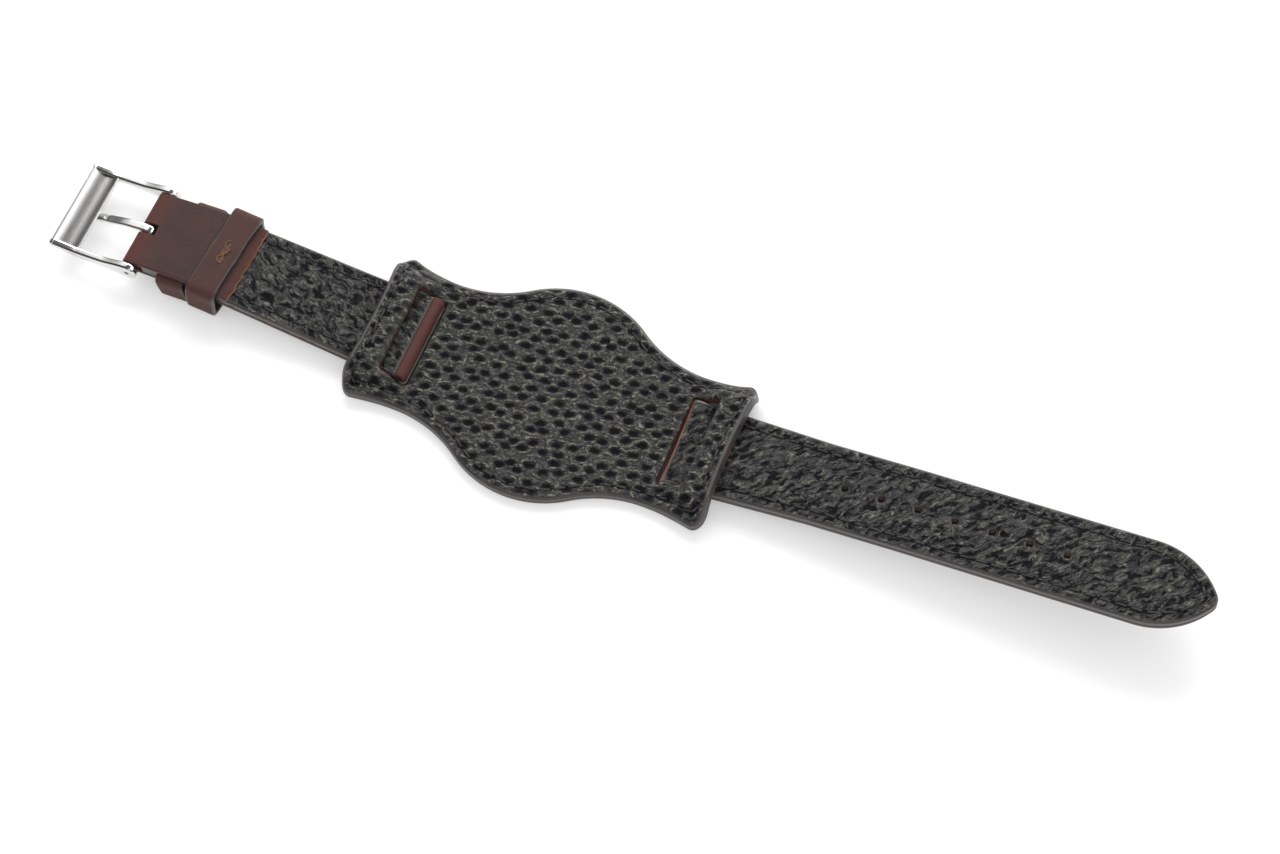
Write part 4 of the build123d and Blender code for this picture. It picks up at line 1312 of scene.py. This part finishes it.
def flap_place(ring, across):
    """Places the strip: the flap's end is cut a little askew and unevenly."""
    plan = np.column_stack([ring[:, 0], across])
    end = smooth(FLAP_RUN + 2.5, FLAP_RUN, ring[:, 0]) * (ring[:, 1] > STRAP_TOP + 0.01)
    wave = np.array([noise.noise(Vector((float(y) * 0.7, 3.3, 0.0))) for y in across])
    plan[:, 0] += end * (0.35 * wave - 0.035 * across)
    return BUCKLE_ROUTE.place(plan, ring[:, 1]), plan


def skived(one, two):
    """The kind of a face of the strip: raw at the flap's end."""
    return 2 if max(one[0], two[0]) < FLAP_RUN + 0.3 and min(one[1], two[1]) > STRAP_TOP else 0


class STRAP_OT_buckle_strap(bpy.types.Operator):
    """Make the leather layers of the short piece that carries the buckle"""

    bl_idname = "strap.buckle_strap"
    bl_label = "Buckle piece"

    def execute(self, context):
        place = BUCKLE_ROUTE.place

        def before_flap(points):
            return smooth(FLAP_RUN - 0.3, FLAP_RUN - 2.6, points[:, 0])

        def swelling(points):
            return before_flap(points) * smooth(3.0, 12.0, points[:, 0])

        made = shaped(
            "buckle_strap_lining_leather", ("buckle_lining", "edge_paint"), add_slab,
            [strip_loop(BUCKLE_NOSE_BACK + 0.05, LINING_RUN)], lining_side(0.45), place,
            (grain_step(), HIDDEN_STEP), strap_top(STRAP_TOP, 0.5, swelling), flat_top(CORE_TOP),
            relief=lambda *spots: seam_relief(*spots) * before_flap(spots[0]),
        )
        pebbled(made, BUCKLE_SKIN)
        done(made, "lining_leather", "buckle_strap", "buckle_strap_lining")

        shell = Shell()
        reach = KEEPER_WIDTH / 2 + 0.15
        for start, end, low, high in (
            (NOSE_FOLD + 0.05, CORE_RUN, LEATHER, CORE_TOP),
            (LINING_RUN + 0.1, FIXED_RUN - reach, CORE_TOP - 0.05, STRAP_TOP - 0.02),
            (FIXED_RUN + reach, CORE_RUN, CORE_TOP - 0.05, STRAP_TOP - 0.02),
        ):
            add_core(shell, [strip_loop(start, end, CORE_MARGIN)], place, low, high)
        made = shell.finish("buckle_strap_core", PAINTED_CORE)
        sharpen(made, CORE_CREASE)
        done(made, "filler_leather", "buckle_strap", "buckle_strap_filler")

        outer = shaped(
            "buckle_strap_outer_leather", (*PAINTED_BROWN, "raw_leather"), add_carried,
            flap_profile(), flap_place, buckle_half, 60, FLAP_ROUND, pull=flap_pull, kind=skived,
        )
        cut(outer, rod(PIN, (0, 1, 0), PIN_BORE, 30), block(PIN - NOTCH_LOW, PIN + NOTCH_HIGH))
        sharpen(outer, LEATHER_CREASE)
        nose = make_nose(
            "buckle_nose", BUCKLE_ROUTE, buckle_half, BUCKLE_NOSE_BACK, NOSE_RADIUS * 2,
        )
        done(joined([outer, nose]), "strap_leather", "buckle_strap", "buckle_strap_outer")
        return {"FINISHED"}


def tail_nose_place(plan, height):
    """Places the tail's lining, which comes down over the thinner nose."""
    run = plan[:, 0]
    back = smooth(TAIL_NOSE_BACK + 0.5, TAIL_NOSE_BACK, run)
    floor = CORE_TOP + (TAIL_NOSE_TOP - CORE_TOP) * back
    ahead = np.clip(-run / NOSE_RADIUS, 0, 0.95)
    drop = (TAIL_NOSE_TOP - NOSE_RADIUS) * (1 - np.sqrt(1 - ahead**2))
    share = (height - CORE_TOP) / (STRAP_TOP - CORE_TOP)
    return TAIL_ROUTE.place(plan, floor + (STRAP_TOP - floor) * share - drop)


class STRAP_OT_tail_strap(bpy.types.Operator):
    """Make the leather layers of the long piece with the holes"""

    bl_idname = "strap.tail_strap"
    bl_label = "Tail piece"

    def execute(self, context):
        place = TAIL_ROUTE.place
        holes, outline = hole_loops(HOLE_RADIUS), tail_loop(NOSE_FOLD)
        crowned = strap_top(STRAP_TOP, 0.6, lambda points: smooth(1.0, 14.0, points[:, 0]))
        made = shaped(
            "tail_strap_lining_leather", ("tail_lining", "edge_paint", "raw_leather"), add_slab,
            [tail_loop(TAIL_LIP), *holes], lining_side(0.4), tail_nose_place,
            (grain_step(), HIDDEN_STEP), crowned, flat_top(CORE_TOP),
            relief=seam_relief, raw_before=TAIL_LIP + 0.3,
        )
        pebbled(made, TAIL_SKIN)
        done(made, "lining_leather", "tail_strap", "tail_strap_lining")

        made = shaped(
            "tail_strap_core", PAINTED_CORE, add_core, [inset(outline, CORE_MARGIN), *holes],
            place, LEATHER, CORE_TOP,
        )
        sharpen(made, CORE_CREASE)
        done(made, "filler_leather", "tail_strap", "tail_strap_filler")

        outer = shaped(
            "tail_strap_outer_leather", PAINTED_BROWN, add_slab,
            [outline, *hole_loops(HOLE_RADIUS * HOLE_NARROWS)], outer_side(0.4), place,
            (CORE_STEP, TAIL_UNDER_STEP), flat_top(LEATHER), grooved(0.22),
        )
        nose = make_nose("tail_nose", TAIL_ROUTE, tail_half, TAIL_NOSE_BACK, TAIL_NOSE_TOP)
        done(joined([outer, nose]), "strap_leather", "tail_strap", "tail_strap_outer")
        return {"FINISHED"}


def strap_line(route, plan, height, way):
    """A seam line on a strap piece: its points and normals."""
    foot = route.place(plan, np.zeros(len(plan)))
    up = route.place(plan, np.ones(len(plan))) - foot
    return route.place(plan, np.full(len(plan), height)), up * way, False


class STRAP_OT_strap_seams(bpy.types.Operator):
    """Sew the seams along both strap pieces, on both faces"""

    bl_idname = "strap.strap_seams"
    bl_label = "Strap seams"

    def execute(self, context):
        above, below = (STRAP_TOP - STITCH_DIP, 1), (0.1, -1)
        lines = []
        for side in (1, -1):
            for end, face in ((FLAP_RUN - 1.2, above), (FLAP_RUN, below)):
                runs = np.arange(SEAM_START, end, SEAM_STEP)
                plan = np.stack([runs, side * (buckle_half(runs) - SEAM_INSET)], 1)
                lines.append(strap_line(BUCKLE_ROUTE, plan, *face))
        made = seam("buckle_strap_seams", lines, 0.9, STITCH_SINK, 3)
        done(made, "dark_thread", "buckle_strap", "buckle_strap_stitching")

        line = inset(tail_loop(NOSE_FOLD, 0.4), SEAM_INSET)
        line = line[line[:, 0] > NOSE_FOLD + 3.0]
        jump = int(np.argmax(np.linalg.norm(np.roll(line, -1, 0) - line, axis=1)))
        line = np.roll(line, -jump - 1, 0)
        lines = [strap_line(TAIL_ROUTE, line, *face) for face in (above, below)]
        made = seam("tail_strap_seams", lines, 0.9, STITCH_SINK, 5)
        done(made, "dark_thread", "tail_strap", "tail_strap_stitching")
        return {"FINISHED"}


# Keepers

def keeper_section():
    """Section of a keeper's strip, with rounded corners: places along the strap and outwards."""
    t, w, r = KEEPER_LEATHER / 2, KEEPER_WIDTH / 2, KEEPER_ROUND
    half = [(0, -t), (w / 2, -t), (w - r, -t), (w - 0.3 * r, -t + 0.3 * r), (w, -t + r), (w, t - r),
            (w - 0.3 * r, t - 0.3 * r), (w - r, t), (w / 2, t), (w / 4, t), (0, t)]
    return half + [(-along, out) for along, out in half[-2:0:-1]]


def keeper_ring(name, run, head, half_inside, skew, seed):
    """A leather loop round the strap, up to a height at its head, a little uneven."""
    route, thick = BUCKLE_ROUTE, KEEPER_LEATHER / 2
    half, foot = half_inside + thick, -KEEPER_GAP - thick
    box = rounded_box(
        (0.0, (foot + head + thick) / 2), (half, (head + thick - foot) / 2), KEEPER_CORNER, 9,
    )
    line = spaced(facing(box, True), KEEPER_STEP)
    size = len(line)
    normals = -left_normals(line)
    normals /= np.linalg.norm(normals, axis=1, keepdims=True)
    section = keeper_section()
    shell = Shell()
    starts = []
    for along, out in section:
        spots = line + normals * out
        wobble = np.array([
            noise.noise(Vector((y * 0.25, z * 0.25, seed + along * 0.1))) for y, z in spots
        ])
        spots = spots + normals * (wobble * 0.1)[:, None]
        shift = along + wobble * 0.25 - spots[:, 0] * skew
        flat = np.column_stack([np.full(size, run), spots[:, 0]])
        ahead = route.place(flat + (1, 0), np.zeros(size)) - route.place(flat, np.zeros(size))
        pull = 0.3 + 0.3 * smooth(half - 2.2, half, np.abs(spots[:, 0]))
        starts.append(shell.put(
            route.place(flat, spots[:, 1]) + ahead * shift[:, None],
            np.column_stack([run + shift, spots[:, 0]]),
            edge=KEEPER_WIDTH / 2 - abs(along), pull=pull,
        ))
    outermost = KEEPER_WIDTH / 2 - KEEPER_ROUND - 1e-6
    for k, low in enumerate(starts):
        after = (k + 1) % len(starts)
        painted = min(abs(section[k][0]), abs(section[after][0])) > outermost
        shell.bridge(low, starts[after], size, lambda i, j: int(painted))
    return shell.finish(name, PAINTED_BROWN)


class STRAP_OT_keepers(bpy.types.Operator):
    """Make the fixed keeper and the free keeper"""

    bl_idname = "strap.keepers"
    bl_label = "Keepers"

    def execute(self, context):
        for name, body, run, head, widest, skew, seed in (
            ("fixed_keeper", "buckle_strap", FIXED_RUN, STRAP_TOP - KEEPER_LEATHER, FIXED_RUN,
             FIXED_SKEW, 2.0),
            ("free_keeper", "keeper", FREE_RUN + FREE_SHIFT, FLAP_TOP + FREE_SLACK,
             FREE_RUN - FREE_SLIDE, FREE_SKEW, 5.0),
        ):
            half = float(buckle_half(widest)) + KEEPER_SIDE_GAP
            made = keeper_ring(name + "_loop", run, head, half, skew, seed)
            done(made, "strap_leather", body, name)
        return {"FINISHED"}


def knot_points():
    """Loose loops of the knot, from one side of the keeper's middle to the other."""
    height = FLAP_TOP + FREE_SLACK + KEEPER_LEATHER + STITCH_DIP
    whole = KNOT_TURNS * 2 * math.pi
    for index, turn in enumerate(np.linspace(0, whole, KNOT_POINTS)):
        share = turn / whole
        along = 0.85 * math.sin(turn) * (0.6 + 0.4 * math.sin(turn * 0.7 + 1)) - 0.3 + 0.4 * share
        across = 1.9 - 4.2 * share + 0.95 * math.cos(turn * 1.12) + 0.4 * math.sin(turn * 0.43)
        wave = 0.1 * math.sin(index * 0.9)
        yield BUCKLE_ROUTE.spot(FREE_RUN + FREE_SHIFT + along, across, height + wave)


class STRAP_OT_keeper_knot(bpy.types.Operator):
    """Tie the thread that closes the free keeper"""

    bl_idname = "strap.keeper_knot"
    bl_label = "Keeper knot"

    def execute(self, context):
        curve = bpy.data.curves.new("free_keeper_knot", "CURVE")
        curve.dimensions = "3D"
        line = curve.splines.new("NURBS")
        line.points.add(KNOT_POINTS - 1)
        for point, spot in zip(line.points, knot_points()):
            point.co = (*(spot * MM), 1.0)
        line.order_u, line.resolution_u, line.use_endpoint_u = 4, 6, True
        curve.bevel_depth, curve.bevel_resolution, curve.use_fill_caps = KNOT_THREAD * MM, 3, True
        source = linked("knot_curve", curve)
        mesh = evaluated_mesh(source)
        bpy.data.objects.remove(source)
        bpy.data.curves.remove(curve)
        mesh.materials.clear()
        mesh.materials.append(materials()["brown_thread"])
        mesh.shade_smooth()
        done(linked("free_keeper_knot", mesh), "brown_thread", "keeper", "free_keeper_stitch")
        return {"FINISHED"}


# Buckle

def buckle_place(middle):
    """Places a side profile of the buckle: its distances run from the spring bar forwards."""
    lean = math.radians(FRAME_TILT)

    def place(ring, across):
        x = PIN[0] - ring[:, 0] * math.cos(lean) - ring[:, 1] * math.sin(lean)
        z = PIN[2] - ring[:, 0] * math.sin(lean) + ring[:, 1] * math.cos(lean)
        return np.column_stack([x, middle + across, z]), np.column_stack([ring[:, 0], across])
    return place


def level_half(width):
    return lambda run: np.full(len(run), width)


def curve_points(knots, heights, count):
    """A smooth line through a few places."""
    runs, levels = spline(knots, heights, count)
    return list(zip(runs.tolist(), levels.tolist()))


def bent(start, pull, end, count):
    """Points of a curve from start to end, drawn towards a third point."""
    shares = np.linspace(0, 1, count)[:, None]
    start, pull, end = (np.array(spot, float) for spot in (start, pull, end))
    return ((1 - shares) ** 2 * start + 2 * (1 - shares) * shares * pull + shares**2 * end).tolist()


def arm_profile():
    """Side of an arm: round at the spring bar and slender at the front bar."""
    runs = [share * FRAME_LENGTH for share in (0.0, 0.36, 0.68, 1.0)]
    top = curve_points(runs, [ARM_ROUND, ARM_ROUND * 0.42, ARM_ROUND * 0.3, 1.3], 40)
    foot = curve_points(runs, [-ARM_ROUND, -ARM_ROUND * 0.72, -ARM_ROUND * 0.6, 0.1], 40)
    return arc((0, 0), ARM_ROUND, -90, -270, 25)[:-1] + top + foot[::-1][:-1]


def bar_profile():
    """Section of the front bar: a rounded outer rim, a hollow and a thin inner lip."""
    rim = arc((FRAME_LENGTH - 0.4, 1.0), 0.4, -50, 130, 12)
    lip = arc((FRAME_LENGTH - BAR_WIDTH + 0.35, 0.2), 0.33, 50, 230, 12)
    middle = FRAME_LENGTH - BAR_WIDTH / 2
    hollow = bent(rim[-1], (middle, -0.9), lip[0], 20)
    under = bent((lip[-1][0] + 0.1, -0.3), (middle, -1.5), rim[0], 16)
    return rim + hollow[1:-1] + lip + under[:-1]


def bar_kind(one, two):
    """The kind of a face of the front bar: brushed in its hollow, else polished."""
    x, z = (one + two) / 2
    return 0 if FRAME_LENGTH - BAR_WIDTH + 0.6 < x < FRAME_LENGTH - 0.6 and z > -0.5 else 1


def tongue_profile():
    length = FRAME_LENGTH * 0.92
    top = curve_points(
        [share * length for share in (0.02, 0.26, 0.55, 0.78, 1.0)],
        [TONGUE_RING * share for share in (1.0, 0.8, 0.0, -0.75, -0.95)], 50,
    )
    return top + [(x, z - TONGUE_THICK) for x, z in top[::-1]]


class STRAP_OT_steel(bpy.types.Operator):
    """Finish the buckle, its tongue and the spring bar"""

    bl_idname = "strap.steel"
    bl_label = "Buckle and spring bar"

    def execute(self, context):
        across = (0, 1, 0)
        frame_finishes = ("brushed_steel", "polished_steel")
        parts = [
            shaped(
                "buckle_arm", frame_finishes, add_carried, arm_profile(),
                buckle_place(side * (ARM_INSIDE + ARM_THICK / 2)), level_half(ARM_THICK / 2), 7,
                ARM_EDGE, kind=lambda one, two: 1,
            )
            for side in (-1, 1)
        ]
        parts.append(shaped(
            "buckle_bar", frame_finishes, add_carried, bar_profile(), buckle_place(0.0),
            level_half(ARM_INSIDE + ARM_THICK), 24, BAR_EDGE, kind=bar_kind,
            # These pull values darken the bar's hollow and inner part as painted shade
            pull=lambda ring: smooth(FRAME_LENGTH - 1.2, FRAME_LENGTH - 2.4, ring[:, 0]),
        ))
        made = joined(parts)
        made.name = made.data.name = "buckle_frame_steel"
        cut(made, rod(PIN, across, TIP_HOLE, 40))
        sharpen(made, STEEL_CREASE)
        done(made, "polished_steel", "buckle", "buckle_frame")

        strip, ring = (
            shaped(
                "tongue_part", ("polished_steel", "polished_steel"), add_carried, profile,
                buckle_place(0.0), level_half(TONGUE_HALF), 5, TONGUE_EDGE,
            )
            for profile in (tongue_profile(), arc((0, 0), TONGUE_RING, 0, 360, 49)[:-1])
        )
        made = joined([strip, cut(ring, rod(PIN, across, TONGUE_BORE, 10))])
        made.name = made.data.name = "buckle_tongue_steel"
        sharpen(made, STEEL_CREASE)
        done(made, "polished_steel", "tongue", "buckle_tongue")

        for node, finish in (
            ("spring_bar_tube", "turned_steel"), ("spring_bar_spring", "turned_steel"),
            ("spring_bar_tip_far", "dull_steel"), ("spring_bar_tip_near", "dull_steel"),
        ):
            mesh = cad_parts[node].data
            mesh.materials.clear()
            mesh.materials.append(materials()[finish])
        return {"FINISHED"}


# Stage

def make_floor(colour):
    """A pale floor that glows a little for the camera, but not below the pad, so that the floor
    seen through the pad's windows stays dark as painted shade.
    """
    maker, shader, _ = new_finish("pale_floor")
    speckle = maker.ramp(maker.noise(maker.place(), 30.0, 2.0), 0.3, 0.7)
    spot = maker.add("ShaderNodeSeparateXYZ", {0: maker.place()})
    away = [
        maker.math("DIVIDE", maker.math("ABSOLUTE", spot.outputs[axis]), reach * MM)
        for axis, reach in enumerate((PAD_HALF - 4.0, WINDOW_HALF + 1.8))
    ]
    path = maker.add("ShaderNodeLightPath")
    seen = maker.math("MAXIMUM", path.outputs["Is Camera Ray"], path.outputs["Is Glossy Ray"])
    # No glow below the pad: painted shade where the floor shows through the windows
    beyond = maker.ramp(maker.math("MAXIMUM", *away), 1.0, 1.05, 0.0, FLOOR_GLOW)
    maker.feed(shader, {
        "Base Color": maker.mix(speckle, rgba(colour), rgba([part * 0.99 for part in colour])),
        "Roughness": 0.9, "Specular IOR Level": 0.2, "Emission Color": WHITE,
        "Emission Strength": maker.times(seen, beyond),
    })
    corners = [(x * FLOOR_HALF, y * FLOOR_HALF, FLOOR_LEVEL)
               for x, y in ((-1, -1), (1, -1), (1, 1), (-1, 1))]
    mesh = bpy.data.meshes.new("floor")
    mesh.from_pydata(corners, [], [(0, 1, 2, 3)])
    mesh.materials.append(bpy.data.materials["pale_floor"])
    linked("floor", mesh)


def make_room(scene):
    """White for the camera, soft light for the leather, and a darker room for the steel."""
    scene.world = bpy.data.worlds.new("studio")
    scene.world.use_nodes = True
    scene.world.node_tree.nodes.clear()
    maker = Maker(scene.world.node_tree)
    x, y, z = maker.add("ShaderNodeSeparateXYZ", {0: maker.place("Generated")}).outputs
    height = maker.ramp(z, 0.5, 0.92, 0.9, 0.14)
    side = maker.ramp(y, -0.35, 0.35, 0.22, 1.0)
    band = maker.times(maker.ramp(z, 0.42, 0.52), maker.ramp(z, 0.7, 0.86, 2.4, 0.0))
    band = maker.times(band, maker.ramp(y, 0.1, 0.4))
    tone = maker.plus(maker.times(height, side), band)
    tone = maker.times(tone, maker.ramp(x, -0.85, -0.25, 0.2, 1.0))
    path = maker.add("ShaderNodeLightPath")
    room, fill, white = (
        maker.add("ShaderNodeBackground", {"Color": colour, "Strength": strength})
        for colour, strength in ((tone, 1.0), (WHITE, FILL), (WHITE, 1.0))
    )
    mixed = maker.add("ShaderNodeMixShader", {0: path.outputs["Is Glossy Ray"], 1: fill, 2: room})
    final = maker.add("ShaderNodeMixShader", {0: path.outputs["Is Camera Ray"], 1: mixed, 2: white})
    maker.add("ShaderNodeOutputWorld", {0: final})


def make_lamps(power):
    for name, place, width, depth, share in LAMPS:
        lamp = bpy.data.lights.new(name, "AREA")
        lamp.shape, lamp.size, lamp.size_y, lamp.energy = "RECTANGLE", width, depth, power * share
        made = linked(name, lamp)
        made.location = place
        made.rotation_mode = "QUATERNION"
        made.rotation_quaternion = (-Vector(place)).to_track_quat("-Z", "Y")


def make_camera(scene):
    """The photograph's camera, from its azimuth, elevation and roll."""
    azimuth, elevation, roll = (math.radians(part) for part in CAMERA_TURNS)
    back = Vector((
        math.sin(azimuth) * math.cos(elevation), -math.cos(azimuth) * math.cos(elevation),
        math.sin(elevation),
    ))
    right = Vector((math.cos(azimuth), math.sin(azimuth), 0))
    up = back.cross(right)
    right, up = (
        right * math.cos(roll) + up * math.sin(roll), up * math.cos(roll) - right * math.sin(roll),
    )
    lens = bpy.data.cameras.new("camera")
    lens.sensor_width, lens.lens = SENSOR, FOCAL_PIXELS / PHOTO_WIDTH * SENSOR
    lens.clip_start, lens.clip_end = 0.01, 20.0
    scene.camera = linked("camera", lens)
    turned = Matrix((right, up, back)).transposed().to_4x4()
    scene.camera.matrix_world = Matrix.Translation(CAMERA_PLACE) @ turned


class STRAP_OT_stage(bpy.types.Operator):
    """Set the floor, the lamps and the camera"""

    bl_idname = "strap.stage"
    bl_label = "Stage"

    def execute(self, context):
        scene = context.scene
        make_floor(scene.strap_stage.floor)
        make_room(scene)
        make_lamps(scene.strap_stage.lamp)
        make_camera(scene)
        scene.view_settings.view_transform = "Standard"
        return {"FINISHED"}


STEPS = (
    STRAP_OT_stage, STRAP_OT_pad, STRAP_OT_pad_seam, STRAP_OT_buckle_strap, STRAP_OT_tail_strap,
    STRAP_OT_strap_seams, STRAP_OT_keepers, STRAP_OT_keeper_knot, STRAP_OT_steel,
)
GROUPS = {
    "strap_leather": StrapLeather, "strap_thread": StrapThread, "strap_steel": StrapSteel,
    "strap_stage": StrapStage,
}


class STRAP_PT_panel(bpy.types.Panel):
    """Lists the strap's pieces"""

    bl_idname = "STRAP_PT_panel"
    bl_label = "Bund watch strap"
    bl_space_type = "VIEW_3D"
    bl_region_type = "UI"
    bl_category = "Strap"

    def draw(self, context):
        for step in STEPS:
            self.layout.operator(step.bl_idname)


def register():
    for made in (*GROUPS.values(), *STEPS, STRAP_PT_panel):
        bpy.utils.register_class(made)
    for name, group in GROUPS.items():
        setattr(bpy.types.Scene, name, bpy.props.PointerProperty(type=group))


def unregister():
    for name in GROUPS:
        delattr(bpy.types.Scene, name)
    for made in (STRAP_PT_panel, *reversed(STEPS), *reversed(GROUPS.values())):
        bpy.utils.unregister_class(made)


def main():
    register()
    for step in STEPS:
        family, action = step.bl_idname.split(".")
        getattr(getattr(bpy.ops, family), action)()


if __name__ == "__main__":
    main()
